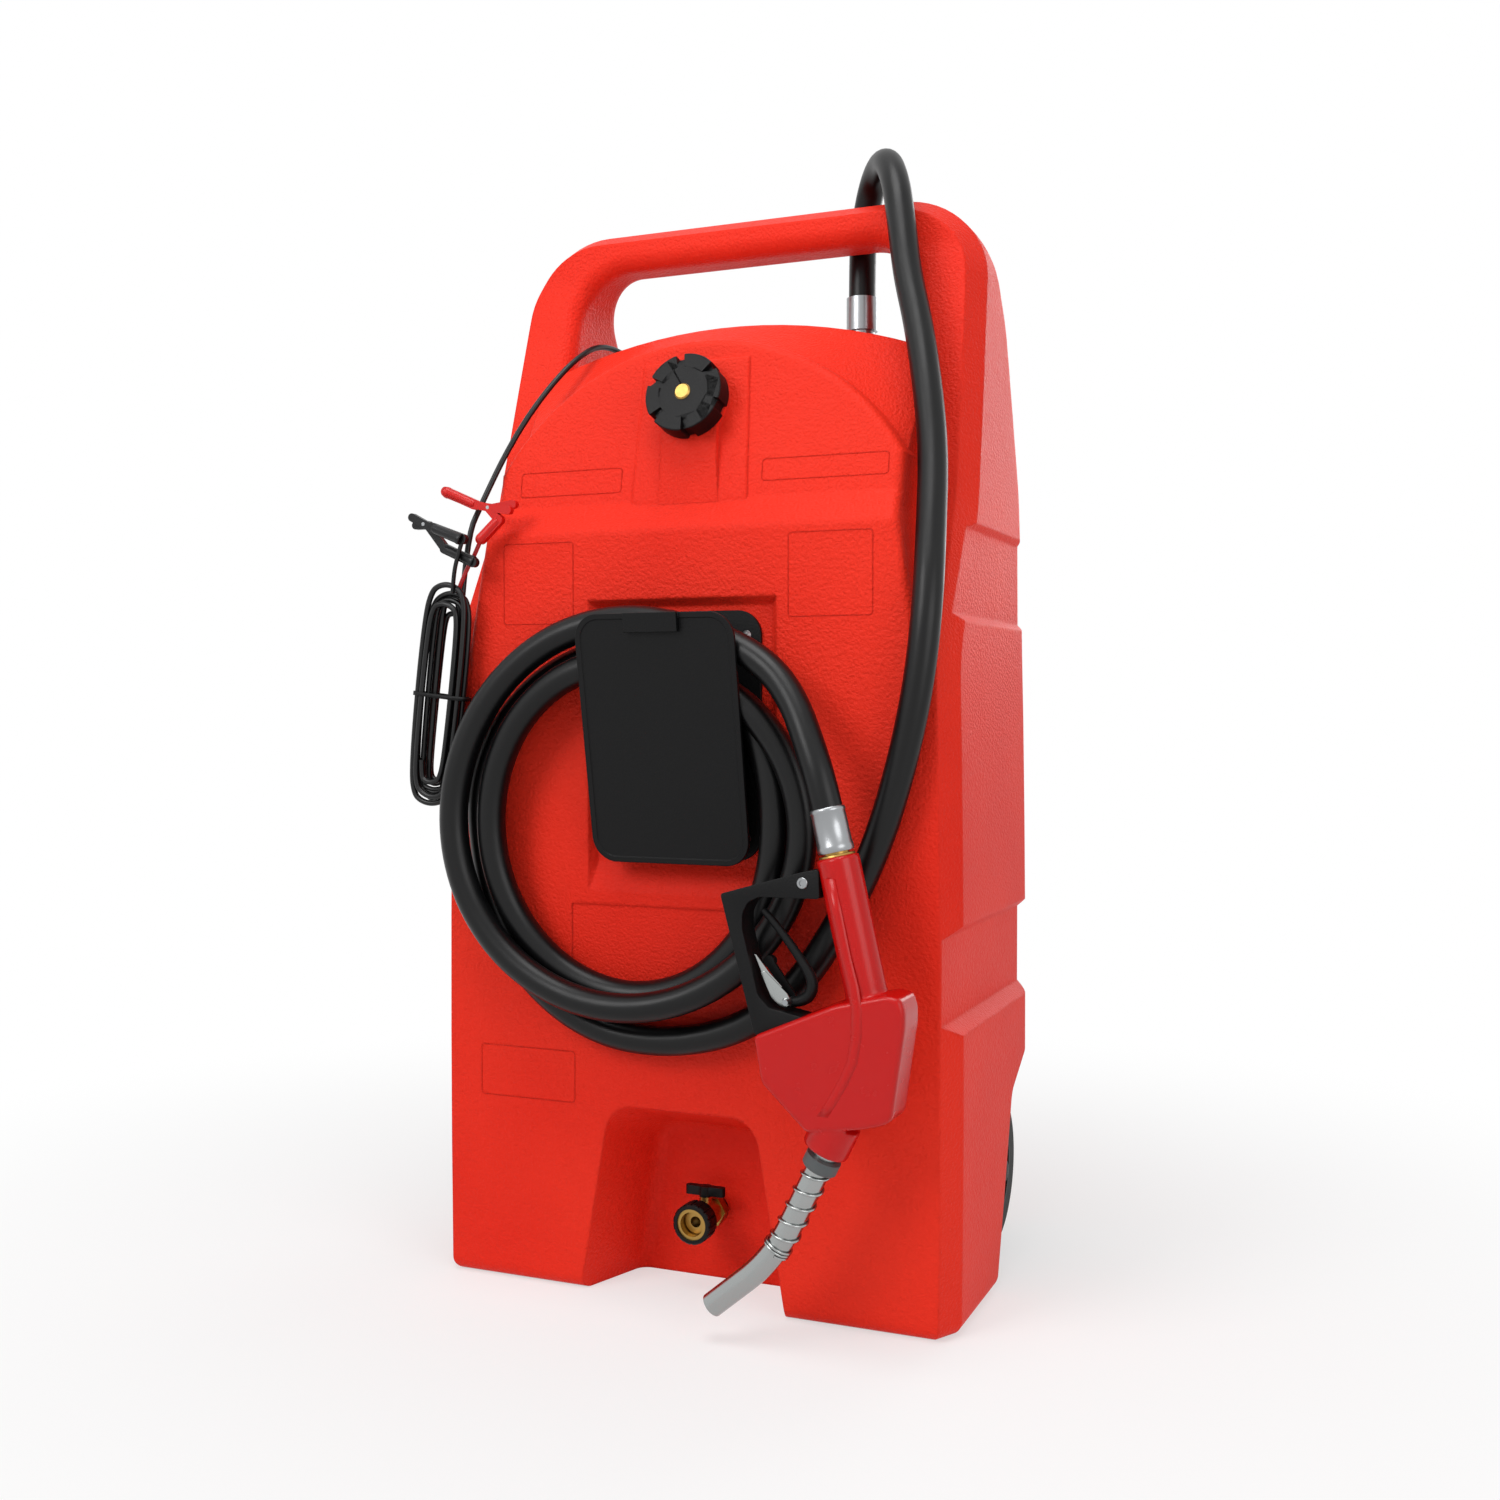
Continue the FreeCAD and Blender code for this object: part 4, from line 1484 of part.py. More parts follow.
crimp_bore = s.hose_radius + 2 * s.pin_gap
ferrule = turned("nozzle_ferrule_form",
                 [(crimp_bore, 0), (s.ferrule_radius, 0),
                  (s.ferrule_radius, s.ferrule_length - s.pin_chamfer),
                  (s.ferrule_radius - s.pin_chamfer, s.ferrule_length),
                  (s.swivel_stem + s.pin_gap, s.ferrule_length),
                  (s.swivel_stem + s.pin_gap, s.ferrule_length - s.swivel_seat),
                  (crimp_bore, s.ferrule_length - s.swivel_seat)],
                 on_grip(-s.swivel_ring - s.side_gap - s.ferrule_length), grip_way)
node("nozzle_ferrule", ferrule)
node("nozzle_swivel", turned("nozzle_swivel_form",
                             [(s.swivel_bore, -s.swivel_ring - s.side_gap - s.swivel_seat + 1),
                              (s.swivel_stem, -s.swivel_ring - s.side_gap - s.swivel_seat + 1),
                              (s.swivel_stem, -s.swivel_ring), (s.swivel_radius, -s.swivel_ring),
                              (s.swivel_radius, -2 * s.pin_gap), (s.swivel_stem, -2 * s.pin_gap),
                              (s.swivel_stem, s.swivel_seat),
                              (s.swivel_bore, s.swivel_seat)], grip_top, grip_way))
grip = prism("grip_form", "front", GRIP_OUTLINE, *layer(s.grip_half))
grip = rounded("grip_rounded", grip, s.grip_rounding,
               lambda middle, box, edge: box.YLength < 0.1 and box.ZLength > 40)
body = prism("nozzle_block", "front", BODY_OUTLINE, *layer(s.body_half))
body = rounded("nozzle_block_rounded", body, s.body_rounding, lambda middle, box, edge: box.YLength < 0.1)
swell = prism("nozzle_swell", "front", SWELL_OUTLINE, *layer(s.body_half + s.swell_proud))
swell = rounded("nozzle_swell_rounded", swell, s.swell_proud, lambda middle, box, edge: box.YLength < 0.1)
spout_ways = [V(x, -number(s.nozzle_front), z) for x, z in SPOUT_ROUTE]
spout_way = (spout_ways[1] - spout_ways[0]).normalize()
neck_start = spout_ways[0] - spout_way * number(s.spout_inset)
nozzle = fuse("nozzle_solid", grip, body, swell,
              cylinder("nozzle_neck", s.spout_collar - 2, s.spout_inset + 1, neck_start, spout_way))
spout_seat = cylinder("spout_seat", s.spout_radius, s.spout_inset + 2, neck_start, spout_way)
swivel_socket = cylinder("swivel_socket", s.swivel_stem, s.swivel_seat, grip_top, grip_way)
nozzle = cut("nozzle_body_form", nozzle, spout_seat, swivel_socket)
node("nozzle_body", nozzle)
spout_outer = tube("spout_outer", [tuple(neck_start)] + [tuple(p) for p in spout_ways[1:]], s.spout_radius)
spout_inner = tube("spout_inner", [tuple(neck_start)] + [tuple(p) for p in spout_ways[1:]],
                   s.spout_radius - s.spout_wall)
node("spout", cut("spout_form", spout_outer, spout_inner))
node("spout_collar", turned("spout_collar_form",
                            [(s.spout_radius, 0), (s.spout_collar, 0),
                             (s.spout_collar, s.spout_collar_length - s.pin_chamfer),
                             (s.spout_collar - s.pin_chamfer, s.spout_collar_length),
                             (s.spout_radius, s.spout_collar_length)], spout_ways[0] + spout_way, spout_way))
coil_start = s.spout_collar_length + s.spring_wire
ridges = [(s.spout_radius, coil_start)]
for i in range(int(number(s.spring_turns))):
    foot = coil_start + s.spring_pitch * i
    ridges += [(s.spout_radius + s.spring_wire / 2, foot),
               (s.spout_radius + s.spring_wire * 2, foot + s.spring_wire / 2),
               (s.spout_radius + s.spring_wire * 2, foot + s.spring_wire * 1.5),
               (s.spout_radius + s.spring_wire / 2, foot + s.spring_wire * 2)]
ridges.append((s.spout_radius, coil_start + s.spring_pitch * (s.spring_turns - 1) + s.spring_wire * 2))
spring = turned("spring_form", ridges, spout_ways[0] + spout_way, spout_way)
node("spout_spring", spring)

guard_loop = prism("guard_loop", "front", GUARD_OUTLINE, *layer(s.guard_half))
guard_loop = cut("guard_open", guard_loop, prism("guard_gap", "front", GUARD_GAP, *layer(2 * s.guard_half)))
ear_outer = s.trigger_half + s.latch_width + 3 * s.ear_gap + s.ear_width
ears = [prism("guard_ear_front", "front", EAR_OUTLINE, -s.nozzle_front - ear_outer,
              -s.nozzle_front - ear_outer + s.ear_width),
        prism("guard_ear_back", "front", EAR_OUTLINE, -s.nozzle_front + ear_outer - s.ear_width,
              -s.nozzle_front + ear_outer)]
pivot = V(TRIGGER_PIVOT[0], 0, TRIGGER_PIVOT[1])
pivot_front = pivot + V(0, -number(s.nozzle_front + ear_outer), 0)
guard_bolt_at = point(GUARD_BOLT[0], -s.nozzle_front - s.guard_half, GUARD_BOLT[1])
guard_bolt_hole = cylinder("guard_bolt_hole", s.guard_bolt, 2 * s.guard_half, guard_bolt_at, BACK)
pivot_hole = cylinder("pivot_hole", s.trigger_pin, 2 * ear_outer, pivot_front, BACK)
guard = cut("guard_form", fuse("guard_solid", guard_loop, *ears), nozzle, guard_bolt_hole, pivot_hole)
node("nozzle_guard", guard)
guard_bolts = doc.addObject("Part::Compound", "guard_bolt_set")
guard_bolts.Links = [
    fuse("guard_bolt_form", cylinder("guard_bolt_shank", s.guard_bolt, 2 * s.guard_half, guard_bolt_at, BACK),
         cylinder("guard_bolt_head", s.guard_bolt * BOLT_HEAD_SHARE,
                  s.guard_bolt * BOLT_HEIGHT_SHARE,
                  guard_bolt_at - BACK * number(s.guard_bolt * BOLT_HEIGHT_SHARE), BACK)),
    cylinder("trigger_pin_form", s.trigger_pin, 2 * ear_outer, pivot_front, BACK)]
node("guard_bolts", guard_bolts)
lever_parts = [strip("trigger_part_" + str(i), a, b, s.trigger_bar, *layer(s.trigger_half))
               for i, (a, b) in enumerate(zip(TRIGGER_ROUTE, TRIGGER_ROUTE[1:]))]
lever_bar = fuse("trigger_solid", *lever_parts)
pivot_room = cylinder("pivot_room", s.trigger_pin + s.pin_gap, 2 * ear_outer, pivot_front, BACK)
node("trigger", cut("trigger_form", lever_bar, pivot_room))
latch_start = -s.nozzle_front + s.trigger_half + s.ear_gap
knob_at = V(LATCH_ROUTE[0][0], number(latch_start), LATCH_ROUTE[0][1])
latch = fuse("latch_solid",
             strip("latch_bar", LATCH_ROUTE[0], LATCH_ROUTE[1], s.latch_bar, latch_start,
                   latch_start + s.latch_width),
             cylinder("latch_knob", s.latch_bar * KNOB_SHARE, s.latch_knob, knob_at, BACK))
node("trigger_latch", cut("latch_form", latch, pivot_room))

# Cable, hank, tie, leads and battery clips.
node("power_cable", tube("power_cable_form", CABLE_ROUTE, s.cable_radius))
hank_turn = FreeCAD.Rotation(BACK, number(s.hank_lean))
hank = cut("hank_upright", oval("hank_outer", 0, 0, s.hank_half_width, s.hank_half_height, -s.hank_front,
                                -s.hank_back),
           oval("hank_hole", 0, 0, s.hank_hole_half_width, s.hank_hole_half_height, -s.hank_front - 1,
                -s.hank_back + 1))
hank.Placement = FreeCAD.Placement(point(s.hank_x, 0, s.hank_z), hank_turn)
node("cable_hank", hank)
tie = block("tie_block", (-s.hank_half_width - s.tie_thickness, -s.hank_front - s.tie_thickness,
                          -s.tie_width / 2),
            (s.hank_half_width + s.tie_thickness, -s.hank_back + s.tie_thickness, s.tie_width / 2))
tie.Placement = FreeCAD.Placement(point(s.hank_x, 0, s.hank_z), hank_turn).multiply(tie.Placement)
node("cable_tie", cut("cable_tie_form", tie, hank))
for colour in ("red", "black"):
    node(colour + "_lead", tube(colour + "_lead_form", LEAD_ROUTES[colour], s.lead_radius))
    held, free, pin_x, pin_z, front = CLIPS[colour]
    thick = s.clip_half
    y0, y1 = -front - thick, -front + thick
    pin_at = V(pin_x, -float(front), pin_z)
    eye = cylinder(colour + "_clip_eye", s.clip_pin + s.pin_gap, 4 * thick,
                   pin_at - BACK * number(2 * thick), BACK)
    for kind, route, share in (("fixed", held, 0), ("moving", free, 1)):
        low = y0 if share == 0 else -front + s.clip_gap
        high = -front - s.clip_gap if share == 0 else y1
        arms = [strip(colour + "_" + kind + "_sleeve", route[0], route[1], s.sleeve_half, low, high),
                strip(colour + "_" + kind + "_arm", route[1], (pin_x, pin_z), s.jaw_half, low, high),
                strip(colour + "_" + kind + "_jaw", (pin_x, pin_z), route[2], s.jaw_half, low, high)]
        jaw = fuse(colour + "_" + kind + "_solid", *arms)
        pin_hole = eye if share else cylinder(colour + "_pin_hole", s.clip_pin, 4 * thick,
                                              pin_at - BACK * number(2 * thick), BACK)
        node(colour + "_jaw_" + kind, cut(colour + "_" + kind + "_form", jaw, pin_hole))
    node(colour + "_clip_pin", cylinder(colour + "_pin_form", s.clip_pin, 2 * thick,
                                        pin_at - BACK * number(thick), BACK))

# Every object must have come out sound before anything is written.
for thing in doc.Objects:
    if "Invalid" in thing.State or "Error" in thing.State:
        raise RuntimeError(thing.Name + " could not be built")
for label, thing in nodes.items():
    if thing.Shape.isNull() or not thing.Shape.isValid() or not thing.Shape.Solids:
        raise RuntimeError(label + " has no sound shape")
for label, thing in nodes.items():
    thing.Shape.exportStep("parts/" + label + ".step")
print(len(nodes), "nodes written")
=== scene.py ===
# %% [markdown]
# # A wheeled fuel caddy
# The solids of this object come packed as a frame: every hard part already has its true place and size
# there. This lesson dresses that frame. It lays the hose and the cables first, because their curves set
# the whole picture, then remakes the moulded and vinyl-covered pieces, and last gives everything its
# finish. Lengths are in metres, +X is to the right as seen from the front, +Y to the back and +Z up.

# %% Load the frame
import bpy
import bmesh
import json
import math
from mathutils import Matrix, Vector


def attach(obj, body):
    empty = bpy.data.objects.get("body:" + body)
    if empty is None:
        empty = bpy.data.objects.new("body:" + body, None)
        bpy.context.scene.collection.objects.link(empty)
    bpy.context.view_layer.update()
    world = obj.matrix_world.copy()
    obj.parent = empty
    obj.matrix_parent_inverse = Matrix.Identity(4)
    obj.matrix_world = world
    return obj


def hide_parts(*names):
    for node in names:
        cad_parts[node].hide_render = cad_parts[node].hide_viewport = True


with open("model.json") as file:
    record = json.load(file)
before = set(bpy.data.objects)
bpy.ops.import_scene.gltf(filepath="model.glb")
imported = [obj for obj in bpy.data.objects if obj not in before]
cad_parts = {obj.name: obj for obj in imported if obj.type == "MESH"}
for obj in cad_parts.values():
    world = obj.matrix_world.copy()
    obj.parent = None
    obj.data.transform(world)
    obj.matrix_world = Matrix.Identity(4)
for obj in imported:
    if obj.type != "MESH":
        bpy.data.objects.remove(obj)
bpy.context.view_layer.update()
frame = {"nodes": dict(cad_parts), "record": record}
nodes = frame["nodes"]
print("frame holds", len(nodes), "nodes")

# %% [markdown]
# ## Camera
# The photograph was taken from the right of the middle, at about half the object's height, with a normal
# lens. The camera's place was fitted to points that can be told apart both there and in the frame.

# %% Camera
camera_data = bpy.data.cameras.new("camera")
camera_data.lens = 39.32
camera_data.sensor_width = 36
camera = bpy.data.objects.new("camera", camera_data)
bpy.context.collection.objects.link(camera)
camera.location = (0.7395, -1.7095, 0.6364)
camera_down, camera_round = 1.48, 22.83
camera.rotation_euler = (math.radians(90 - camera_down), 0, math.radians(camera_round))
bpy.context.scene.camera = camera
print("camera at", tuple(round(value, 3) for value in camera.location), "lens", round(camera_data.lens, 2))

# %% [markdown]
# ## Light and floor
# Soft light from large lamps leaves the moulded red plastic bright but keeps a gentle gloss on its edges.
# The world gives only a dim light, and it looks white where the camera sees it, directly or in shiny metal.

# %% Helpers for colours, finishes and lamps
def srgb(code):
    """A colour written as six hexadecimal digits, as the linear values that a shader takes."""
    parts = [int(code[i:i + 2], 16) / 255 for i in (0, 2, 4)]
    return tuple(c / 12.92 if c <= 0.04045 else ((c + 0.055) / 1.055) ** 2.4 for c in parts) + (1.0,)


def material(name, color, roughness, metallic=0.0):
    """A new material with its main shader set, and that shader."""
    made = bpy.data.materials.new(name)
    made.use_nodes = True
    shader = made.node_tree.nodes["Principled BSDF"]
    shader.inputs["Base Color"].default_value = srgb(color)
    shader.inputs["Roughness"].default_value = roughness
    shader.inputs["Metallic"].default_value = metallic
    return made, shader


def area_lamp(name, place, target, size, watts):
    """A round area lamp at a place, turned towards its target."""
    lamp_data = bpy.data.lights.new(name, "AREA")
    lamp_data.shape = "DISK"
    lamp_data.size = size
    lamp_data.energy = watts
    lamp = bpy.data.objects.new(name, lamp_data)
    bpy.context.collection.objects.link(lamp)
    lamp.location = place
    lamp.rotation_euler = (Vector(target) - Vector(place)).to_track_quat("-Z", "Y").to_euler()


# %% Lamps and world
middle = (0, 0, 0.6)
area_lamp("key", (-1.3, -2.6, 2.3), middle, size=1.6, watts=40)
area_lamp("fill", (2.4, -1.6, 1.3), middle, size=1.8, watts=18)
area_lamp("top", (0.1, -0.9, 3.0), (0, 0, 0.9), size=1.5, watts=30)
area_lamp("rear", (0.8, 2.6, 1.6), middle, size=1.6, watts=18)


def seen_ray(tree):
    """A value of one for rays from the camera, off shiny metal or through glass, and zero for others."""
    path = tree.nodes.new("ShaderNodeLightPath")
    found = path.outputs["Is Camera Ray"]
    for kind in ("Is Glossy Ray", "Is Transmission Ray"):
        either = tree.nodes.new("ShaderNodeMath")
        either.operation = "MAXIMUM"
        tree.links.new(found, either.inputs[0])
        tree.links.new(path.outputs[kind], either.inputs[1])
        found = either.outputs[0]
    return found


world = bpy.data.worlds.new("studio")
bpy.context.scene.world = world
world.use_nodes = True
tree = world.node_tree
background = tree.nodes["Background"]
background.inputs["Color"].default_value = srgb("FFFFFF")
background.inputs["Strength"].default_value = 0.34
bright = tree.nodes.new("ShaderNodeBackground")
bright.inputs["Color"].default_value = srgb("FFFFFF")
bright.inputs["Strength"].default_value = 1.0
choose = tree.nodes.new("ShaderNodeMixShader")
tree.links.new(seen_ray(tree), choose.inputs["Fac"])
tree.links.new(background.outputs[0], choose.inputs[1])
tree.links.new(bright.outputs[0], choose.inputs[2])
tree.links.new(choose.outputs[0], tree.nodes["World Output"].inputs["Surface"])
bpy.context.scene.view_settings.view_transform = "Standard"
print("lamps:", ", ".join(lamp.name for lamp in bpy.data.lights))

# %% [markdown]
# The floor is a pale sheet. Its own colour carries the object's shadow, and towards the camera a share of
# plain white is mixed in, more of it with the distance, so that no horizon shows.

# %% Floor
floor_mesh = bmesh.new()
bmesh.ops.create_grid(floor_mesh, x_segments=1, y_segments=1, size=9)
floor_data = bpy.data.meshes.new("floor")
floor_mesh.to_mesh(floor_data)
floor_mesh.free()
floor = bpy.data.objects.new("floor", floor_data)
bpy.context.collection.objects.link(floor)
floor_paint, shader = material("floor_paint", "F2F2F2", 0.9)
shader.inputs["Specular IOR Level"].default_value = 0.1
tree = floor_paint.node_tree
place = tree.nodes.new("ShaderNodeTexCoord")
distance = tree.nodes.new("ShaderNodeVectorMath")
distance.operation = "LENGTH"
tree.links.new(place.outputs["Object"], distance.inputs[0])
share = tree.nodes.new("ShaderNodeMapRange")
share.interpolation_type = "SMOOTHSTEP"
share.inputs["From Min"].default_value = 0.25
share.inputs["From Max"].default_value = 1.5
share.inputs["To Min"].default_value = 0.55
share.inputs["To Max"].default_value = 1.0
tree.links.new(distance.outputs["Value"], share.inputs["Value"])
shown = tree.nodes.new("ShaderNodeMath")
shown.operation = "MULTIPLY"
tree.links.new(seen_ray(tree), shown.inputs[0])
tree.links.new(share.outputs["Result"], shown.inputs[1])
white = tree.nodes.new("ShaderNodeEmission")
white.inputs["Color"].default_value = srgb("FFFFFF")
blend = tree.nodes.new("ShaderNodeMixShader")
tree.links.new(shown.outputs[0], blend.inputs["Fac"])
tree.links.new(shader.outputs[0], blend.inputs[1])
tree.links.new(white.outputs[0], blend.inputs[2])
tree.links.new(blend.outputs[0], tree.nodes["Material Output"].inputs["Surface"])
floor_data.materials.append(floor_paint)
print("floor laid, shown white beyond", share.inputs["From Max"].default_value, "m")

# %% [markdown]
# ## Hose and cables
# A hose and a cable are each one fixed length of round stock, and so are a bent bar and a wound spring. All
# of them are smooth curves with a round bevel, which keep their thickness in every bend.

# %% Curve helpers
def round_curve(name, routes, radius, sides, order=3, steps=12, closed=False):
    """Smooth round curves through routes of points; a fourth value is a point's share of the radius."""
    data = bpy.data.curves.new(name, "CURVE")
    data.dimensions = "3D"
    data.bevel_depth = radius
    data.bevel_resolution = sides
    data.resolution_u = steps
    data.use_fill_caps = not closed
    for route in routes:
        line = data.splines.new("NURBS")
        line.points.add(len(route) - 1)
        for target, (x, y, z, *share) in zip(line.points, route):
            target.co = (x, y, z, 1)
            if share:
                target.radius = share[0]
        line.order_u = order
        line.use_endpoint_u = not closed
        line.use_cyclic_u = closed
    made = bpy.data.objects.new(name, data)
    bpy.context.collection.objects.link(made)
    return made


def cord_curve(name, points, radius, paint, sides=10):
    """One cord along a route, in its finish."""
    made = round_curve(name, [points], radius, sides, steps=8)
    made.data.materials.append(paint)
    return made


def curve_length(curve):
    """Length of a curve's own line, measured on a copy without its bevel."""
    bare = curve.copy()
    bare.data = curve.data.copy()
    bare.data.bevel_depth = 0
    bpy.context.collection.objects.link(bare)
    line = bpy.data.meshes.new_from_object(bare.evaluated_get(bpy.context.evaluated_depsgraph_get()))
    ends = [[line.vertices[number].co for number in edge.vertices] for edge in line.edges]
    total = sum((first - second).length for first, second in ends)
    bpy.data.objects.remove(bare)
    bpy.data.meshes.remove(line)
    return total


# %% [markdown]
# The fuel hose leaves the pump, arches over the dome, hangs down the right edge and lies in turns round the
# hanger, and its end drops into the nozzle. The two ends have listed points. The turns come from a loop
# that moves the radius and the depth a little from quarter to quarter, as the strands lie over each other.

# %% Route of the fuel hose
hose_lead = [
    (0.119, 0.099, 1.079), (0.119, 0.099, 1.138), (0.120, 0.101, 1.190), (0.137, 0.085, 1.239),
    (0.167, 0.040, 1.247), (0.190, 0.004, 1.208), (0.203, -0.014, 1.150), (0.213, -0.028, 1.098),
    (0.231, -0.046, 1.040), (0.248, -0.070, 0.972), (0.262, -0.094, 0.898), (0.270, -0.128, 0.820),
    (0.276, -0.159, 0.742), (0.269, -0.164, 0.662), (0.251, -0.163, 0.580), (0.227, -0.163, 0.502),
    (0.190, -0.162, 0.425), (0.140, -0.161, 0.350), (0.076, -0.1605, 0.302), (-0.006, -0.160, 0.282),
    (-0.086, -0.1605, 0.288), (-0.155, -0.161, 0.325), (-0.207, -0.162, 0.385)]
# Distance from the coil's middle and depth at each quarter turn: left, top, right, bottom.
coil_quarters = [
    (0.186, -0.160), (0.184, -0.156), (0.163, -0.160), (0.183, -0.160),
    (0.160, -0.180), (0.171, -0.184), (0.198, -0.169), (0.190, -0.193),
    (0.200, -0.193), (0.215, -0.178)]
coil_middle = Vector((-0.049, 0, 0.513))
coil_spread = 1.019  # the true radius over the one read off the photograph
per_turn = 16
coil_points = []
for step in range((len(coil_quarters) - 1) * per_turn // 4 + 1):
    quarter = step * 4 / per_turn
    before = min(int(quarter), len(coil_quarters) - 2)
    share = quarter - before
    share = share * share * (3 - 2 * share)
    reach, depth = (a + (b - a) * share for a, b in zip(coil_quarters[before], coil_quarters[before + 1]))
    angle = math.radians(180 - 90 * quarter)
    reach *= coil_spread
    coil_points.append((coil_middle.x + reach * math.cos(angle), depth,
                        coil_middle.z + reach * math.sin(angle)))
hose_tail = [
    (0.033, -0.180, 0.717), (0.080, -0.184, 0.701), (0.122, -0.189, 0.676), (0.151, -0.200, 0.643),
    (0.172, -0.213, 0.602), (0.1895, -0.222, 0.5598), (0.2014, -0.222, 0.5081)]
hose_points = hose_lead + coil_points + hose_tail
print("hose has", len(hose_points), "route points")

# %% [markdown]
# The cover of a fuel hose is black rubber cured in a cloth wrap, which leaves a faint weave and an uneven,
# dull shine. A coarse noise varies the gloss, and a fine one in the bump stands for the weave.

# %% Rubber for the hose
rubber, shader = material("hose_rubber", "070708", 0.36)
shader.inputs["Specular IOR Level"].default_value = 0.28
tree = rubber.node_tree
place = tree.nodes.new("ShaderNodeTexCoord")
mottle = tree.nodes.new("ShaderNodeTexNoise")
mottle.inputs["Scale"].default_value = 38
mottle.inputs["Detail"].default_value = 4
tree.links.new(place.outputs["Object"], mottle.inputs["Vector"])
sheen = tree.nodes.new("ShaderNodeMapRange")
sheen.inputs["To Min"].default_value = 0.27
sheen.inputs["To Max"].default_value = 0.45
tree.links.new(mottle.outputs["Fac"], sheen.inputs["Value"])
tree.links.new(sheen.outputs["Result"], shader.inputs["Roughness"])
wrap = tree.nodes.new("ShaderNodeTexNoise")
wrap.inputs["Scale"].default_value = 420
tree.links.new(place.outputs["Object"], wrap.inputs["Vector"])
bump = tree.nodes.new("ShaderNodeBump")
bump.inputs["Strength"].default_value = 0.12
bump.inputs["Distance"].default_value = 0.0004
tree.links.new(wrap.outputs["Fac"], bump.inputs["Height"])
tree.links.new(bump.outputs["Normal"], shader.inputs["Normal"])
print("finish made:", rubber.name)

# %% Lay the hose
hose_radius = 0.0155
hose = cord_curve("hose", hose_points, hose_radius, rubber)
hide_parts("fuel_hose", "hose_coil", "hose_tail")
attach(hose, "base")
print("hose length", round(curve_length(hose), 3))

# %% [markdown]
# The battery cable leaves a gland on the switch box, runs over the dome and is wound into a hank that
# hangs at the front left edge. The hank's turns lie in three layers of three. Each turn is two straight
# runs with round ends, nipped at the middle, and a loop steps the width and the depth from turn to turn.

# %% Battery cable and its hank
cable_jacket, shader = material("cable_jacket", "0B0B0C", 0.34)
shader.inputs["Specular IOR Level"].default_value = 0.35
cable_lead = [
    (-0.092, 0.099, 1.020), (-0.119, 0.099, 1.020), (-0.148, 0.083, 1.039), (-0.163, 0.045, 1.060),
    (-0.170, -0.003, 1.060), (-0.178, -0.042, 1.038), (-0.193, -0.070, 1.006), (-0.211, -0.095, 0.966),
    (-0.229, -0.116, 0.920), (-0.246, -0.133, 0.870), (-0.262, -0.149, 0.820)]
hank_middle = Vector((-0.284, 0, 0.650))
hank_lean = math.radians(6.6)
# Half the width and the depth of each turn.
hank_places = [
    (0.0335, -0.1525), (0.0245, -0.1535), (0.0150, -0.1530), (0.0165, -0.1605), (0.0262, -0.1615),
    (0.0345, -0.1610), (0.0335, -0.1690), (0.0242, -0.1700), (0.0158, -0.1695)]
half_run, run_change = 0.083, 0.007  # half a straight run, and how much it differs from turn to turn
run_share = 2.2  # the larger, the sooner a strand comes out of its round end
waist_nip = 0.005  # how far the strap draws the strands together
hank_turn_points = 16
first_step, steps_left_off = 6, 4
hank_points = []
for step in range(first_step, (len(hank_places) - 1) * hank_turn_points - steps_left_off):
    turn = step / hank_turn_points
    before = min(int(turn), len(hank_places) - 2)
    share = turn - before
    (w0, y0), (w1, y1) = hank_places[before], hank_places[before + 1]
    wide, depth = w0 + (w1 - w0) * share, y0 + (y1 - y0) * share
    angle = math.radians(90 - 360 * turn)
    run = half_run + run_change * math.sin(turn * 2.3 + 0.6)
    nip = waist_nip * math.cos(angle) * abs(math.cos(angle))
    across = wide * math.cos(angle) - nip
    up = wide * math.sin(angle) + run * min(1, max(-1, run_share * math.sin(angle)))
    hank_points.append((hank_middle.x + across * math.cos(hank_lean) + up * math.sin(hank_lean), depth,
                        hank_middle.z + up * math.cos(hank_lean) - across * math.sin(hank_lean)))
cable_radius = 0.0032
cable = cord_curve("battery_cable", cable_lead + hank_points, cable_radius, cable_jacket, 5)
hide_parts("power_cable", "cable_hank")
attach(cable, "base")
print("cable length", round(curve_length(cable), 3))

# %% [markdown]
# Above the hank the cable splits into two short leads, a red and a black one, each crimped into its clip.
# They are drawn from the hank to the clip, as the copper runs.

# %% Leads to the clips
red_jacket = material("red_jacket", "B3121A", 0.36)[0]
lead_radius = 0.0024
lead_routes = {
    "red": [(-0.231, -0.164, 0.821), (-0.239, -0.164, 0.804), (-0.251, -0.1635, 0.787),
            (-0.262, -0.163, 0.764)],
    "black": [(-0.243, -0.182, 0.820), (-0.249, -0.183, 0.801), (-0.256, -0.180, 0.783),
              (-0.264, -0.170, 0.763)]}
leads = {}
for color, route in lead_routes.items():
    jacket = red_jacket if color == "red" else cable_jacket
    lead = cord_curve(color + "_wire", route[::-1], lead_radius, jacket, 4)
    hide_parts(color + "_lead")
    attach(lead, "base")
    leads[color] = lead
    print(color, "lead length", round(curve_length(lead), 3))

# %% [markdown]
# ## Finishes
# Rotomoulded polyethylene takes its skin from a blasted steel mould: a fine, soft pebble grain with a dull
# gloss. Two noises make it, a small one for the pebbles and a large one for the slow waves of such walls.

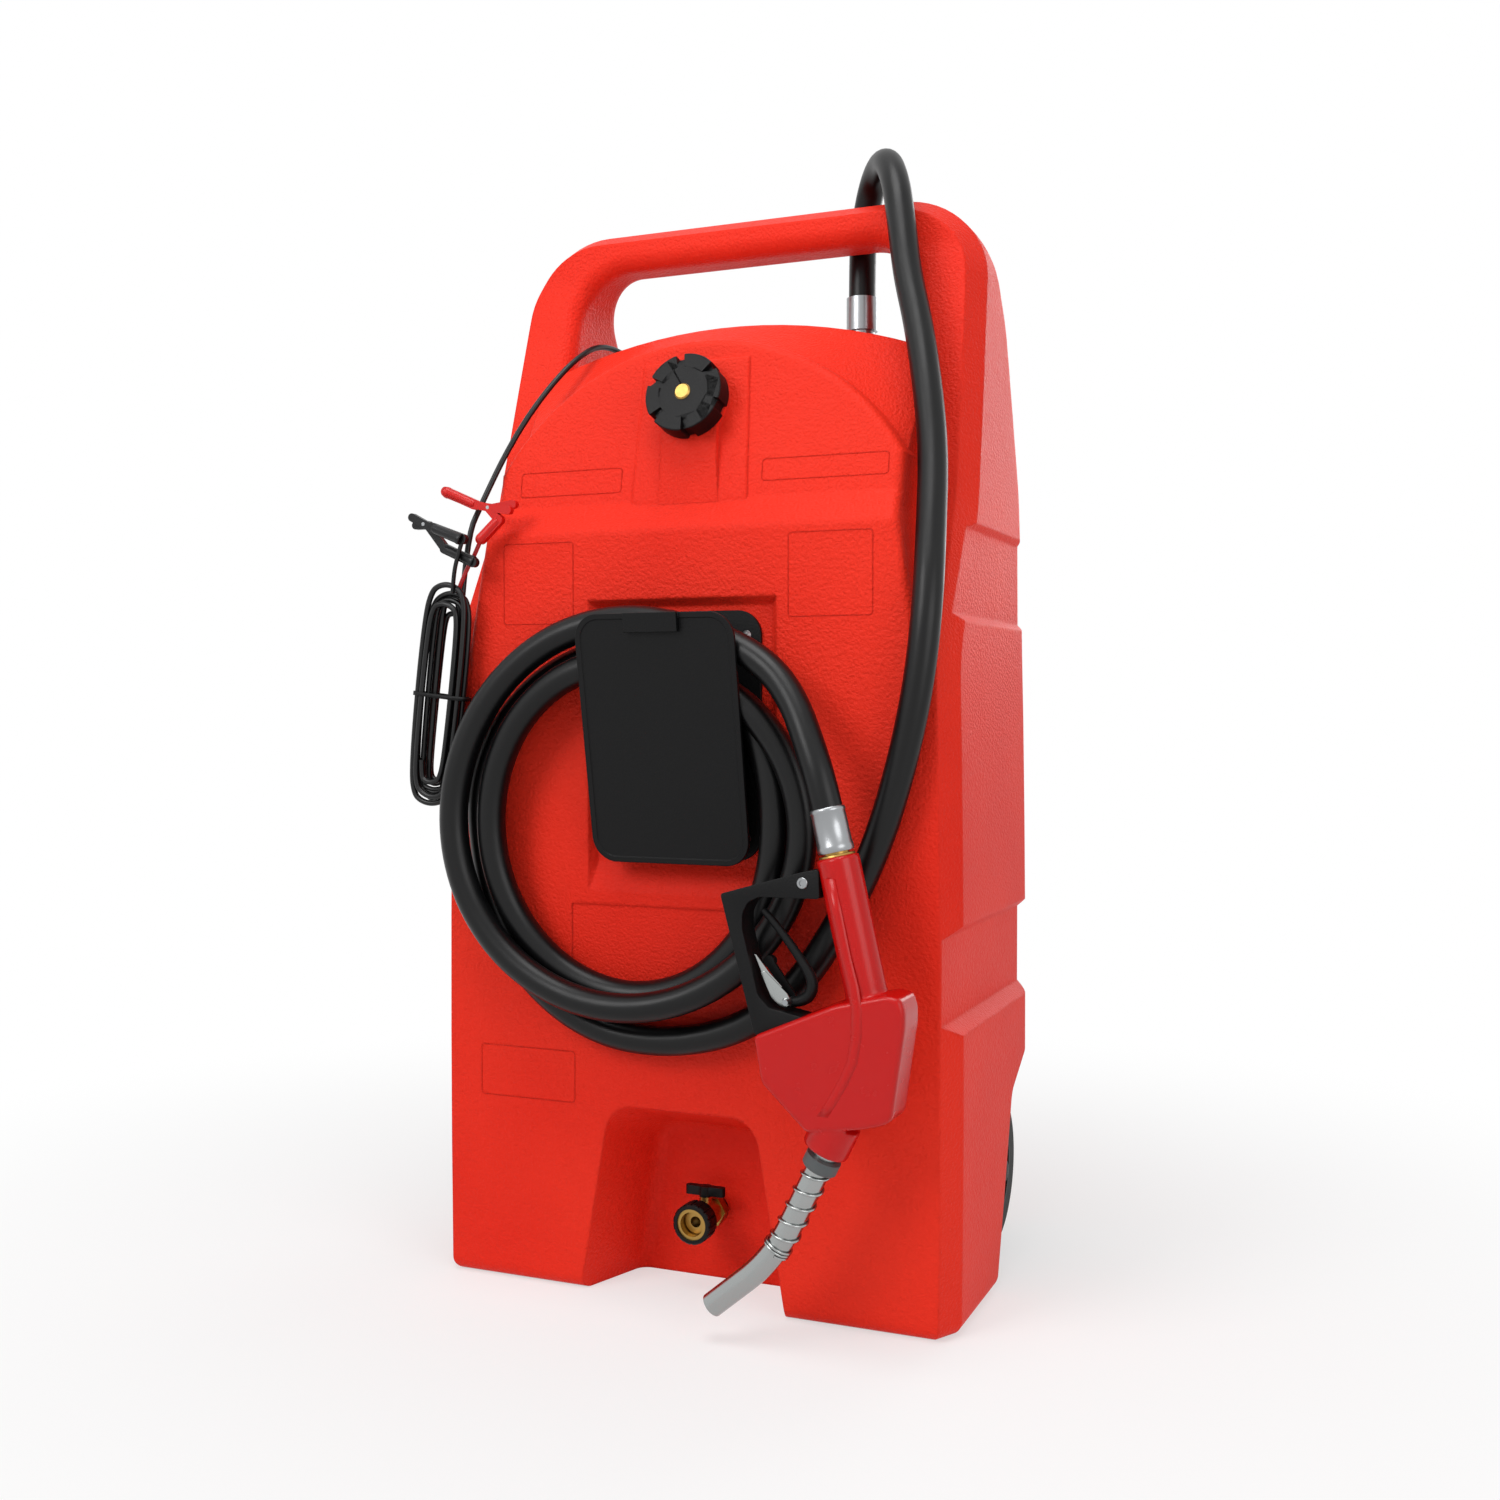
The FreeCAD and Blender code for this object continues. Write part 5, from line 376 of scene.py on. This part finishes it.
# %% Moulded red polyethylene
tank_paint, shader = material("red_polyethylene", "E5281B", 0.46)
shader.inputs["Specular IOR Level"].default_value = 0.1
tree = tank_paint.node_tree
place = tree.nodes.new("ShaderNodeTexCoord")
pebbles = tree.nodes.new("ShaderNodeTexNoise")
pebbles.inputs["Scale"].default_value = 330
pebbles.inputs["Detail"].default_value = 1.5
waves = tree.nodes.new("ShaderNodeTexNoise")
waves.inputs["Scale"].default_value = 9
waves.inputs["Detail"].default_value = 2
cloud = tree.nodes.new("ShaderNodeTexNoise")
cloud.inputs["Scale"].default_value = 3.2
for texture in (pebbles, waves, cloud):
    tree.links.new(place.outputs["Object"], texture.inputs["Vector"])
small_bump = tree.nodes.new("ShaderNodeBump")
small_bump.inputs["Strength"].default_value = 1.0
small_bump.inputs["Distance"].default_value = 0.0014
tree.links.new(pebbles.outputs["Fac"], small_bump.inputs["Height"])
soft_edge = tree.nodes.new("ShaderNodeBevel")
soft_edge.samples = 6
soft_edge.inputs["Radius"].default_value = 0.005
tree.links.new(soft_edge.outputs["Normal"], small_bump.inputs["Normal"])
wave_bump = tree.nodes.new("ShaderNodeBump")
wave_bump.inputs["Strength"].default_value = 0.25
wave_bump.inputs["Distance"].default_value = 0.004
tree.links.new(waves.outputs["Fac"], wave_bump.inputs["Height"])
tree.links.new(small_bump.outputs["Normal"], wave_bump.inputs["Normal"])
tree.links.new(wave_bump.outputs["Normal"], shader.inputs["Normal"])
tint = tree.nodes.new("ShaderNodeValToRGB")
tint.color_ramp.elements[0].position = 0.3
tint.color_ramp.elements[0].color = srgb("E32A1A")
tint.color_ramp.elements[1].position = 0.7
tint.color_ramp.elements[1].color = srgb("EE3522")
tree.links.new(cloud.outputs["Fac"], tint.inputs["Fac"])
tree.links.new(tint.outputs["Color"], shader.inputs["Base Color"])
dull = tree.nodes.new("ShaderNodeMapRange")
dull.inputs["To Min"].default_value = 0.40
dull.inputs["To Max"].default_value = 0.56
tree.links.new(pebbles.outputs["Fac"], dull.inputs["Value"])
tree.links.new(dull.outputs["Result"], shader.inputs["Roughness"])
print("finish made:", tank_paint.name)

# %% [markdown]
# The other pieces are rubber, injection-moulded plastic, dipped vinyl, cast or turned brass and plated
# steel. Each has a grain of its own size and depth, so one function makes them all.

# %% Other finishes
def grained(name, color, roughness, scale, strength, metallic=0.0, shine=0.5):
    """A finish with a fine grain in its bump and its gloss."""
    made, shader = material(name, color, roughness, metallic)
    shader.inputs["Specular IOR Level"].default_value = shine
    tree = made.node_tree
    place = tree.nodes.new("ShaderNodeTexCoord")
    grain = tree.nodes.new("ShaderNodeTexNoise")
    grain.inputs["Scale"].default_value = scale
    grain.inputs["Detail"].default_value = 3
    tree.links.new(place.outputs["Object"], grain.inputs["Vector"])
    bump = tree.nodes.new("ShaderNodeBump")
    bump.inputs["Strength"].default_value = strength
    bump.inputs["Distance"].default_value = 0.0004
    tree.links.new(grain.outputs["Fac"], bump.inputs["Height"])
    tree.links.new(bump.outputs["Normal"], shader.inputs["Normal"])
    gloss = tree.nodes.new("ShaderNodeMapRange")
    gloss.inputs["To Min"].default_value = roughness - 0.07
    gloss.inputs["To Max"].default_value = roughness + 0.09
    tree.links.new(grain.outputs["Fac"], gloss.inputs["Value"])
    tree.links.new(gloss.outputs["Result"], shader.inputs["Roughness"])
    return made


finishes = {
    "tank_red": tank_paint,
    "black_rubber": rubber,
    "tyre_rubber": grained("tyre_rubber", "141414", 0.62, 160, 0.3, shine=0.25),
    "black_plastic": grained("black_plastic", "070708", 0.48, 600, 0.6, shine=0.2),
    "black_cable": cable_jacket,
    "red_cable": red_jacket,
    "red_vinyl": grained("red_vinyl", "BE0A08", 0.24, 60, 0.08, shine=0.3),
    "black_vinyl": grained("black_vinyl", "101012", 0.34, 200, 0.1, shine=0.3),
    "red_clip_vinyl": grained("red_clip_vinyl", "C8140F", 0.34, 200, 0.1, shine=0.3),
    "grey_plastic": grained("grey_plastic", "565A5B", 0.45, 300, 0.15, shine=0.3),
    "brass": grained("brass", "AA884A", 0.34, 240, 0.2, 1.0),
    "chrome": grained("chrome", "A3A6A5", 0.2, 120, 0.03, 1.0),
    "zinc_steel": grained("zinc_steel", "9C9EA0", 0.3, 220, 0.12, 1.0),
    "pump_paint": grained("pump_paint", "161618", 0.45, 260, 0.3, shine=0.3),
    "vane_carbon": grained("vane_carbon", "1A1A1A", 0.5, 200, 0.1),
}
for entry in frame["record"]["subparts"]:
    piece = nodes[entry["node"]]
    piece.data.materials.clear()
    piece.data.materials.append(finishes[entry["material_slot"]])
print(len(finishes), "finishes on", len(nodes), "nodes")

# %% [markdown]
# ## Softened edges
# The frame's solids have crisp edges. Real mouldings and castings never do, and it is the thin bright line
# along a rounded edge that makes them look solid. A copy of each such piece gets its doubles merged, its
# flat faces joined again and a small live bevel on every clear edge.

# %% Piece helpers
soft_crease = 30  # degrees: a softened piece is smooth over flatter edges
bevel_from = 32  # degrees: flatter edges get no bevel
flat_within = 0.6  # degrees: faces that differ by less are joined
slots = {entry["node"]: entry["material_slot"] for entry in frame["record"]["subparts"]}


def body_of(node):
    """Name of the moving body that carries a node."""
    bodies = frame["record"]["behaviour"]["bodies"]
    return next((name for name, parts in bodies.items() if node in parts), "base")


def settle(piece, body, slot):
    """Give a finished piece its body and its finish."""
    piece.data.materials.clear()
    piece.data.materials.append(finishes[slot])
    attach(piece, body)
    return piece


def piece_from(name, mesh, body, slot, crease=40):
    """An object from a finished bmesh, smooth but for edges sharper than the crease."""
    bmesh.ops.remove_doubles(mesh, verts=mesh.verts, dist=1e-6)
    bmesh.ops.recalc_face_normals(mesh, faces=mesh.faces)
    data = bpy.data.meshes.new(name)
    mesh.to_mesh(data)
    mesh.free()
    data.shade_smooth()
    data.set_sharp_from_angle(angle=math.radians(crease))
    made = bpy.data.objects.new(name, data)
    bpy.context.collection.objects.link(made)
    return settle(made, body, slot)


def soften(node, width):
    """Replace a frame node by its copy with rounded edges."""
    mesh = bmesh.new()
    mesh.from_mesh(nodes[node].data)
    bmesh.ops.remove_doubles(mesh, verts=mesh.verts, dist=2e-6)
    bmesh.ops.dissolve_limit(mesh, verts=mesh.verts, edges=mesh.edges, angle_limit=math.radians(flat_within))
    made = piece_from(node + "_soft", mesh, body_of(node), slots[node], soft_crease)
    edge = made.modifiers.new("edge", "BEVEL")
    edge.width = width
    edge.segments = 2
    edge.limit_method = "ANGLE"
    edge.angle_limit = math.radians(bevel_from)
    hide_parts(node)


# %% [markdown]
# The hanger, the switch box, the drain valve, the pump with its motor and the axle caps have such edges.
# Each piece gets the rounding that a moulding, a casting or a pressing of its size would have.

# %% Soften the mouldings and castings
soft_widths = {"hanger_front": 0.0012, "hanger_back": 0.0012, "drain_lever": 0.0008,
               "drain_collar": 0.0008, "drain_body": 0.0006, "pump_body": 0.0012, "pump_cover": 0.0008,
               "motor_housing": 0.0015, "motor_cap": 0.0012, "switch_box": 0.0012, "axle_caps": 0.0010}
for node, width in soft_widths.items():
    soften(node, width)
print(len(soft_widths), "pieces softened")

# %% [markdown]
# ## Filler cap
# The cap is a thick disc with six wide finger lugs and narrow slots between them, a sunk face and rounded
# rims. A circle's points are drawn a little inwards at the slots. The outline is then raised to the cap's
# height and over a rounded rim down to the sunk face, and in the slots it stays as low as that face.

# %% Cap with finger lugs
cap_seat = Vector((0, -0.1135, 0.964))
cap_axis = Vector((0, -0.9703, 0.2419))
cap_gap = 0.0006  # between the cap and its seat
cap_radius = 0.0435
cap_points = 240
lug_count = 6
sunk_height = 0.0165
# A lug and its slot take one unit of turn: where the slot is in it, its half width and its sloping side.
slot_turn, slot_middle, slot_half_width, slot_side = 0.2, 0.86, 0.115, 0.03
slot_depth = 0.09  # as a share of the radius


def slot_share(vert):
    """How far a point of the cap lies in a slot, from zero on a lug to one in a slot's middle."""
    turn = (math.atan2(vert.co.y, vert.co.x) / (2 * math.pi) * lug_count + slot_turn) % 1
    return min(1, max(0, (slot_half_width - abs(turn - slot_middle)) / slot_side))


cap_form = bmesh.new()
bmesh.ops.create_circle(cap_form, cap_ends=True, segments=cap_points, radius=cap_radius)
for vert in cap_form.verts:
    vert.co.xy *= 1 - slot_depth * slot_share(vert)
top = cap_form.faces[:]
# Radius and height of each ring, from the foot of the outer rim over it to the sunk face.
cap_rings = (
    (cap_radius, 0.0222), (0.0431, 0.0229), (0.0423, 0.0233), (0.0289, 0.0233), (0.0282, 0.0229),
    (0.0278, 0.0222), (0.0270, sunk_height))
for radius, height in cap_rings:
    grown = bmesh.ops.extrude_face_region(cap_form, geom=top)
    top = [part for part in grown["geom"] if isinstance(part, bmesh.types.BMFace)]
    for vert in top[0].verts:
        vert.co.z = sunk_height if slot_share(vert) > 0.5 else height
        vert.co.xy = vert.co.xy.normalized() * min(radius, vert.co.xy.length)
cap_turn = cap_axis.to_track_quat("Z", "Y").to_matrix().to_4x4()
bmesh.ops.transform(cap_form, verts=cap_form.verts,
                    matrix=Matrix.Translation(cap_seat + cap_axis * cap_gap) @ cap_turn)
lugged_cap = piece_from("lugged_cap", cap_form, "cap", "black_plastic", 20)
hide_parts("filler_cap")
print("cap has", lug_count, "lugs and", len(lugged_cap.data.vertices), "points")

# %% [markdown]
# ## Label fields
# The mould leaves thin raised frames on the dome and on the front panel. The lettering inside them is left
# off here, so they stay bare. Each frame is a fine bead whose points are dropped on to the wall from the
# front. No point lies on a corner, so the curve rounds it.

# %% Raised frames
# Left, right, bottom and top of each field: two on the dome, two on the panel and one low on the left.
frame_boxes = [
    (-0.207, -0.082, 0.870, 0.897), (0.083, 0.222, 0.874, 0.897), (-0.214, -0.1275, 0.728, 0.816),
    (0.123, 0.214, 0.730, 0.816), (-0.245, -0.127, 0.205, 0.261)]
bead_radius = 0.0009
bead_sunk = 0.0004  # how far the bead's middle lies in the wall
bead_step = 0.006
corner_gap = 0.35  # from a corner to the nearest point, as a share of a step
before_front = -0.5
bead_routes = []
for low_x, high_x, low_z, high_z in frame_boxes:
    corners = [(low_x, low_z), (high_x, low_z), (high_x, high_z), (low_x, high_z)]
    bead_route = []
    for (x0, z0), (x1, z1) in zip(corners, corners[1:] + corners[:1]):
        steps = max(2, round(math.hypot(x1 - x0, z1 - z0) / bead_step))
        for step in range(steps):
            share = (step + corner_gap) / (steps - 1 + 2 * corner_gap)
            start = Vector((x0 + (x1 - x0) * share, before_front, z0 + (z1 - z0) * share))
            hit = nodes["tank_shell"].ray_cast(start, Vector((0, 1, 0)))[1]
            bead_route.append((hit.x, hit.y + bead_sunk, hit.z))
    bead_routes.append(bead_route)
label_frames = round_curve("label_frames", bead_routes, bead_radius, 2, closed=True)
settle(label_frames, "base", "tank_red")
print("beads on", len(frame_boxes), "fields")

# %% [markdown]
# ## The nozzle
# The nozzle is a casting inside a thick, glossy vinyl cover. The cover is one skin over a round grip, a flat
# body and a short sleeve, with soft fillets between them. Separate rounded forms are joined by a voxel remesh
# and relaxed, which gives those fillets without drawing any of them.

# %% Plates and turned forms
def plate(outline, front, back):
    """A flat form from an outline in the front plane, in millimetres, as a bmesh."""
    mesh = bmesh.new()
    face = mesh.faces.new([mesh.verts.new((x / 1000, front, z / 1000)) for x, z in outline])
    grown = bmesh.ops.extrude_face_region(mesh, geom=[face])
    moved = [part for part in grown["geom"] if isinstance(part, bmesh.types.BMVert)]
    bmesh.ops.translate(mesh, verts=moved, vec=(0, back - front, 0))
    bmesh.ops.recalc_face_normals(mesh, faces=mesh.faces)
    return mesh


def round_plate(mesh, corner, rim, segments=4):
    """Round a plate's corners and then both its rims."""
    sides = [edge for edge in mesh.edges if abs(edge.verts[0].co.y - edge.verts[1].co.y) > 1e-4]
    bmesh.ops.bevel(mesh, geom=sides, offset=corner, segments=segments, profile=0.5, affect="EDGES",
                    material=-1, clamp_overlap=True)
    rims = [edge for edge in mesh.edges if abs(edge.verts[0].co.y - edge.verts[1].co.y) < 1e-5
            and any(abs(face.normal.y) > 0.9 for face in edge.link_faces)
            and any(abs(face.normal.y) < 0.5 for face in edge.link_faces)]
    bmesh.ops.bevel(mesh, geom=rims, offset=rim, segments=segments, profile=0.5, affect="EDGES",
                    material=-1, clamp_overlap=True)
    return mesh


def turned(profile, start, direction, steps=48):
    """A form turned round an axis from pairs of distance along it and radius, in millimetres."""
    mesh = bmesh.new()
    ring = [mesh.verts.new((radius / 1000, 0, along / 1000)) for along, radius in profile]
    edges = [mesh.edges.new(pair) for pair in zip(ring, ring[1:])]
    bmesh.ops.spin(mesh, geom=ring + edges, cent=(0, 0, 0), axis=(0, 0, 1), dvec=(0, 0, 0),
                   angle=2 * math.pi, steps=steps, use_merge=True, use_duplicate=False)
    bmesh.ops.remove_doubles(mesh, verts=mesh.verts, dist=1e-6)
    turn = Vector(direction).to_track_quat("Z", "Y").to_matrix().to_4x4()
    bmesh.ops.transform(mesh, matrix=Matrix.Translation(start) @ turn, verts=mesh.verts)
    return mesh


def closed_turned(profile, *rest, **more):
    """A turned form whose profile starts and ends on the axis."""
    return turned([(profile[0][0], 0)] + profile + [(profile[-1][0], 0)], *rest, **more)


def joined(*meshes):
    """Several bmeshes as one."""
    whole = bmesh.new()
    for mesh in meshes:
        part = bpy.data.meshes.new("part")
        mesh.to_mesh(part)
        mesh.free()
        whole.from_mesh(part)
        bpy.data.meshes.remove(part)
    return whole


# %% [markdown]
# The cover's outline is the one seen from the front. The grip slopes up to the hose and the sleeve slopes
# down to the spout, both in the nozzle's middle plane.

# %% Vinyl cover
nozzle_plane = -0.222
cover_outline = [
    (126.1, 316.7), (209.8, 353), (262, 366), (276, 363), (280, 350), (280, 334), (267.5, 247),
    (259, 241), (236.4, 234.9), (181, 227), (134, 271.4)]
slab = round_plate(plate(cover_outline, -0.2472, -0.1968), corner=0.004, rim=0.009, segments=5)
grip_top = Vector((0.2049, nozzle_plane, 0.4928))
grip_low = Vector((0.2410, nozzle_plane, 0.335))
grip_length = (grip_top - grip_low).length * 1000
grip = closed_turned([(0, 20.5), (grip_length - 3, 21.3), (grip_length - 1, 20.8), (grip_length, 19.4)],
                     grip_low, grip_top - grip_low)
sleeve = closed_turned([(0, 22.5), (1.5, 23.6), (32, 23.6)], Vector((0.1926, nozzle_plane, 0.2069)),
                       Vector((0.4405, 0, 0.8978)))
cover = piece_from("nozzle_cover", joined(slab, grip, sleeve), "nozzle", "red_vinyl", 180)
skin = cover.modifiers.new("skin", "REMESH")
skin.mode = "VOXEL"
skin.voxel_size = 0.0017
skin.use_smooth_shade = True
relax = cover.modifiers.new("relax", "SMOOTH")
relax.factor = 0.5
relax.iterations = 5
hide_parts("nozzle_body")
print("grip is", round(grip_length), "mm long")

# %% [markdown]
# A raised strip runs down the front of the cover, from the grip over the body to the sleeve. It is drawn as
# one edge chain, drawn out sideways to a band and thickened.

# %% Strip on the cover
strip_route = [
    (204.5, -0.2432, 473), (213, -0.2436, 436), (221.5, -0.2440, 398), (229, -0.2446, 372),
    (233, -0.2464, 352), (233, -0.2466, 325), (229, -0.2466, 300), (219, -0.2466, 278),
    (206, -0.2466, 256), (199, -0.2464, 245)]
half_strip = 0.0055
strip_crown = 0.0003  # how much higher the strip is in its middle
strip = bmesh.new()
chain = [strip.verts.new((x / 1000 - half_strip, y, z / 1000)) for x, y, z in strip_route]
links = [strip.edges.new(pair) for pair in zip(chain, chain[1:])]
for rise in (-strip_crown, strip_crown):
    grown = bmesh.ops.extrude_edge_only(strip, edges=links)
    moved = [part for part in grown["geom"] if isinstance(part, bmesh.types.BMVert)]
    links = [part for part in grown["geom"] if isinstance(part, bmesh.types.BMEdge)
             and all(vert in moved for vert in part.verts)]
    bmesh.ops.translate(strip, verts=moved, vec=(half_strip, rise, 0))
bmesh.ops.recalc_face_normals(strip, faces=strip.faces)
band = piece_from("cover_strip", strip, "nozzle", "red_vinyl", 60)
thick = band.modifiers.new("thick", "SOLIDIFY")
thick.thickness = 0.0016
thick.offset = 0
print("strip has", len(strip_route), "stations")

# %% [markdown]
# The hand guard is a moulded hoop in front of the trigger, held by a bolt with a dished head. Its outline is
# one closed chain that runs round the outside and back along the inside.

# %% Hand guard
guard_outline = [
    (191, 481), (173, 477.6), (87.6, 453.2), (124.1, 316.2), (150, 322), (178, 336), (172, 337.5),
    (139.8, 343.3), (127.5, 355.7), (111, 419.8), (111.2, 434.6), (117, 446), (128.8, 451.8),
    (192, 452.3)]
hoop = round_plate(plate(guard_outline, -0.2375, -0.2065), corner=0.003, rim=0.0018, segments=3)
guard = piece_from("hand_guard", hoop, "nozzle", "black_plastic", 50)
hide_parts("nozzle_guard")
to_front = Vector((0, -1, 0))
bolt_head = closed_turned([(0, 5.4), (1.2, 5.6), (1.9, 5.0), (2.0, 3.0), (0.6, 2.8)],
                          Vector((0.1746, -0.2374, 0.4672)), to_front, steps=24)
piece_from("guard_bolt_head", bolt_head, "nozzle", "zinc_steel")
print("guard has", len(guard.data.polygons), "faces")

# %% [markdown]
# The trigger is a round bar, hooked at its lower end, and the latch that holds it is a small riveted plate.

# %% Trigger and latch
bar_radius = 0.0052
# Across and up in millimetres, and the share of the bar's radius.
trigger_stations = [
    (127.6, 437.2, 0.70), (137, 429, 0.74), (166, 393, 0.86), (180, 372, 1.1), (178, 357, 1.2),
    (167, 349.5, 1.1), (158, 348.5, 0.95)]
trigger_route = [(x / 1000, nozzle_plane, z / 1000, share) for x, z, share in trigger_stations]
trigger_bar = round_curve("trigger_bar", [trigger_route], bar_radius, 6)
settle(trigger_bar, "trigger_lever", "black_plastic")
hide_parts("trigger")

plate_outline = [
    (127.5, 377), (132.5, 378.5), (155.5, 358), (160, 350), (155, 344), (148, 345.5), (139.5, 352)]
tip_outline = [(120.2, 394.5), (122.6, 394), (136.5, 377), (150, 364), (147, 361), (129.5, 374)]
latch_plate = round_plate(plate(plate_outline, -0.2298, -0.2283), corner=0.001, rim=0.0004, segments=2)
latch_tip = round_plate(plate(tip_outline, -0.2288, -0.2278), corner=0.0005, rim=0.0003, segments=2)
latch_rivet = closed_turned([(0, 3.4), (1.0, 3.3), (1.8, 2.4), (2.2, 1.0)],
                            Vector((0.1545, -0.2296, 0.3505)), to_front, steps=24)
piece_from("latch_plates", joined(latch_plate, latch_tip, latch_rivet), "latch", "chrome")
print("trigger bar has", len(trigger_route), "stations")

# %% [markdown]
# ## Ferrule, swivel and spout
# The crimped ferrule and the brass swivel are turned from one profile each. The spring that grips the
# filler neck is a curve wound round the spout's own bent axis.

# %% Ferrule and swivel
tail_axis = Vector((0.2243, 0, -0.9745))
ferrule_top = Vector((0.19405, nozzle_plane, 0.5395))
swivel_down = 0.0432  # from the ferrule's top to the swivel's
ferrule_profile = [
    (0, 15.6), (0, 16.6), (1.2, 17.6), (4, 17.6), (4.8, 17.0), (20, 17.2), (36, 17.4), (36.8, 17.9),
    (42, 17.9), (43.5, 17.0), (43.5, 9)]
swivel_profile = [
    (0, 12.5), (2.4, 12.5), (2.8, 17.6), (4.4, 18.2), (5.6, 17.6), (6, 13), (8, 13), (8.4, 15.4),
    (11.5, 16.4), (13, 15.8), (13.4, 12.4), (18, 12.4)]
ferrule = turned(ferrule_profile, ferrule_top, tail_axis, steps=40)
ferrule_piece = piece_from("hose_ferrule", ferrule, "base", "zinc_steel")
swivel = closed_turned(swivel_profile, ferrule_top + tail_axis * swivel_down, tail_axis)
swivel_piece = piece_from("brass_swivel", swivel, "nozzle", "brass", 30)
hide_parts("nozzle_ferrule")
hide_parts("nozzle_swivel")
print("ferrule and swivel turned,", ferrule_profile[-1][0], "and", swivel_profile[-1][0], "mm long")

# %% Axis of the spout
spout_start = Vector((0.1921, 0, 0.2004))
first_way = Vector((-0.4405, 0, -0.8978))
last_way = Vector((-0.7658, 0, -0.6431))
before_bend = 0.0785
bend_radius = 0.1898


def spout_axis(along):
    """Place and direction on the spout's axis at a distance from its start."""
    if along <= before_bend:
        return spout_start + first_way * along, first_way
    angle = min((along - before_bend) / bend_radius, first_way.angle(last_way))
    inward = (last_way - first_way * last_way.dot(first_way)).normalized()
    way = first_way * math.cos(angle) + inward * math.sin(angle)
    place = spout_start + first_way * before_bend + first_way * bend_radius * math.sin(angle)
    return place + inward * bend_radius * (1 - math.cos(angle)), way


print("spout bends by", round(math.degrees(first_way.angle(last_way)), 1), "degrees")

# %% [markdown]
# The spring is wound openly down the spout and closes up over its last turns, where its wire is held. A loop
# goes round the axis step by step and moves on by the pitch.

# %% Spring on the spout
wire_radius = 0.0014
spring_radius = 0.01415
open_turns, tight_turns = 4.9, 2.4
open_pitch, tight_pitch = 0.0178, 0.0033
first_angle = 2.6
wind_steps = 14
along = 0.0155
spring_points = []
for step in range(int((open_turns + tight_turns) * wind_steps) + 1):
    turn = step / wind_steps
    middle_point, way = spout_axis(along)
    side = Vector((way.z, 0, -way.x))
    angle = 2 * math.pi * turn + first_angle
    spring_points.append(middle_point + Vector((0, nozzle_plane, 0))
                         + (side * math.cos(angle) + Vector((0, 1, 0)) * math.sin(angle)) * spring_radius)
    along += (open_pitch if turn < open_turns else tight_pitch) / wind_steps
spout_wire = round_curve("spout_wire", [spring_points], wire_radius, 3, order=4, steps=4)
settle(spout_wire, "nozzle", "chrome")
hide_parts("spout_spring")
print("spring ends", round(along * 1000), "mm down the spout")

# %% [markdown]
# ## Clips and tie
# Each battery clip has two pressed steel jaws with a soft sleeve pushed over each handle. The sleeves are
# turned, with the open end seen in the photograph.

# %% Sleeves on the clips
sleeves = {
    "red_jaw_fixed": ((-0.2325, -0.1636, 0.8200), (-0.2080, -0.1636, 0.8410), "base", "red_clip_vinyl"),
    "red_jaw_moving": ((-0.2810, -0.1564, 0.8760), (-0.2430, -0.1564, 0.8600), "red_jaw", "red_clip_vinyl"),
    "black_jaw_fixed": ((-0.2430, -0.1846, 0.8190), (-0.2790, -0.1846, 0.8330), "base", "black_vinyl"),
    "black_jaw_moving": ((-0.2330, -0.1744, 0.7950), (-0.2690, -0.1744, 0.8105), "black_jaw", "black_vinyl")}
for jaw, (start, end, body, slot) in sleeves.items():
    way = Vector(end) - Vector(start)
    far = way.length * 1000
    profile = [(6, 0), (6, 2.6), (0.6, 3.0), (0, 3.8), (0, 5.4), (0.8, 6.3), (4, 6.5), (5, 6.0),
               (far - 4, 5.4), (far, 4.4), (far, 0)]
    sleeve = turned(profile, Vector(start), way, steps=28)
    piece_from(jaw + "_sleeve", sleeve, body, slot)

# %% [markdown]
# A thin strap holds the cable's hank at its waist. It is a circle drawn out to a rounded oblong, raised to
# the strap's width, leaned as the hank is and thickened.

# %% Strap round the hank
half_wide, half_deep, strap_width = 0.0355, 0.0135, 0.0045
wide_power, deep_power = 0.6, 0.7  # the smaller, the squarer
strap = bmesh.new()
bmesh.ops.create_circle(strap, segments=40, radius=1)
for vert in strap.verts:
    vert.co.x = math.copysign(abs(vert.co.x) ** wide_power, vert.co.x) * half_wide
    vert.co.y = math.copysign(abs(vert.co.y) ** deep_power, vert.co.y) * half_deep
grown = bmesh.ops.extrude_edge_only(strap, edges=strap.edges)
raised = [part for part in grown["geom"] if isinstance(part, bmesh.types.BMVert)]
bmesh.ops.translate(strap, verts=raised, vec=(0, 0, strap_width))
bmesh.ops.transform(strap, verts=strap.verts, matrix=Matrix.Translation((-0.284, -0.1615, 0.647))
                    @ Matrix.Rotation(hank_lean, 4, "Y"))
tie = piece_from("hank_strap", strap, "base", "black_plastic")
thick = tie.modifiers.new("thick", "SOLIDIFY")
thick.thickness = 0.0012
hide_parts("cable_tie")
print("strap is", round(2000 * half_wide), "by", round(2000 * half_deep), "mm")

# %% [markdown]
# ## Cords
# The length of each flexible piece, the hose, the battery cable and the two leads, is measured once
# more.

curve_length(hose)
curve_length(cable)
for color in ("red", "black"):
    curve_length(leads[color])
print("cords declared:", 2 + len(leads))
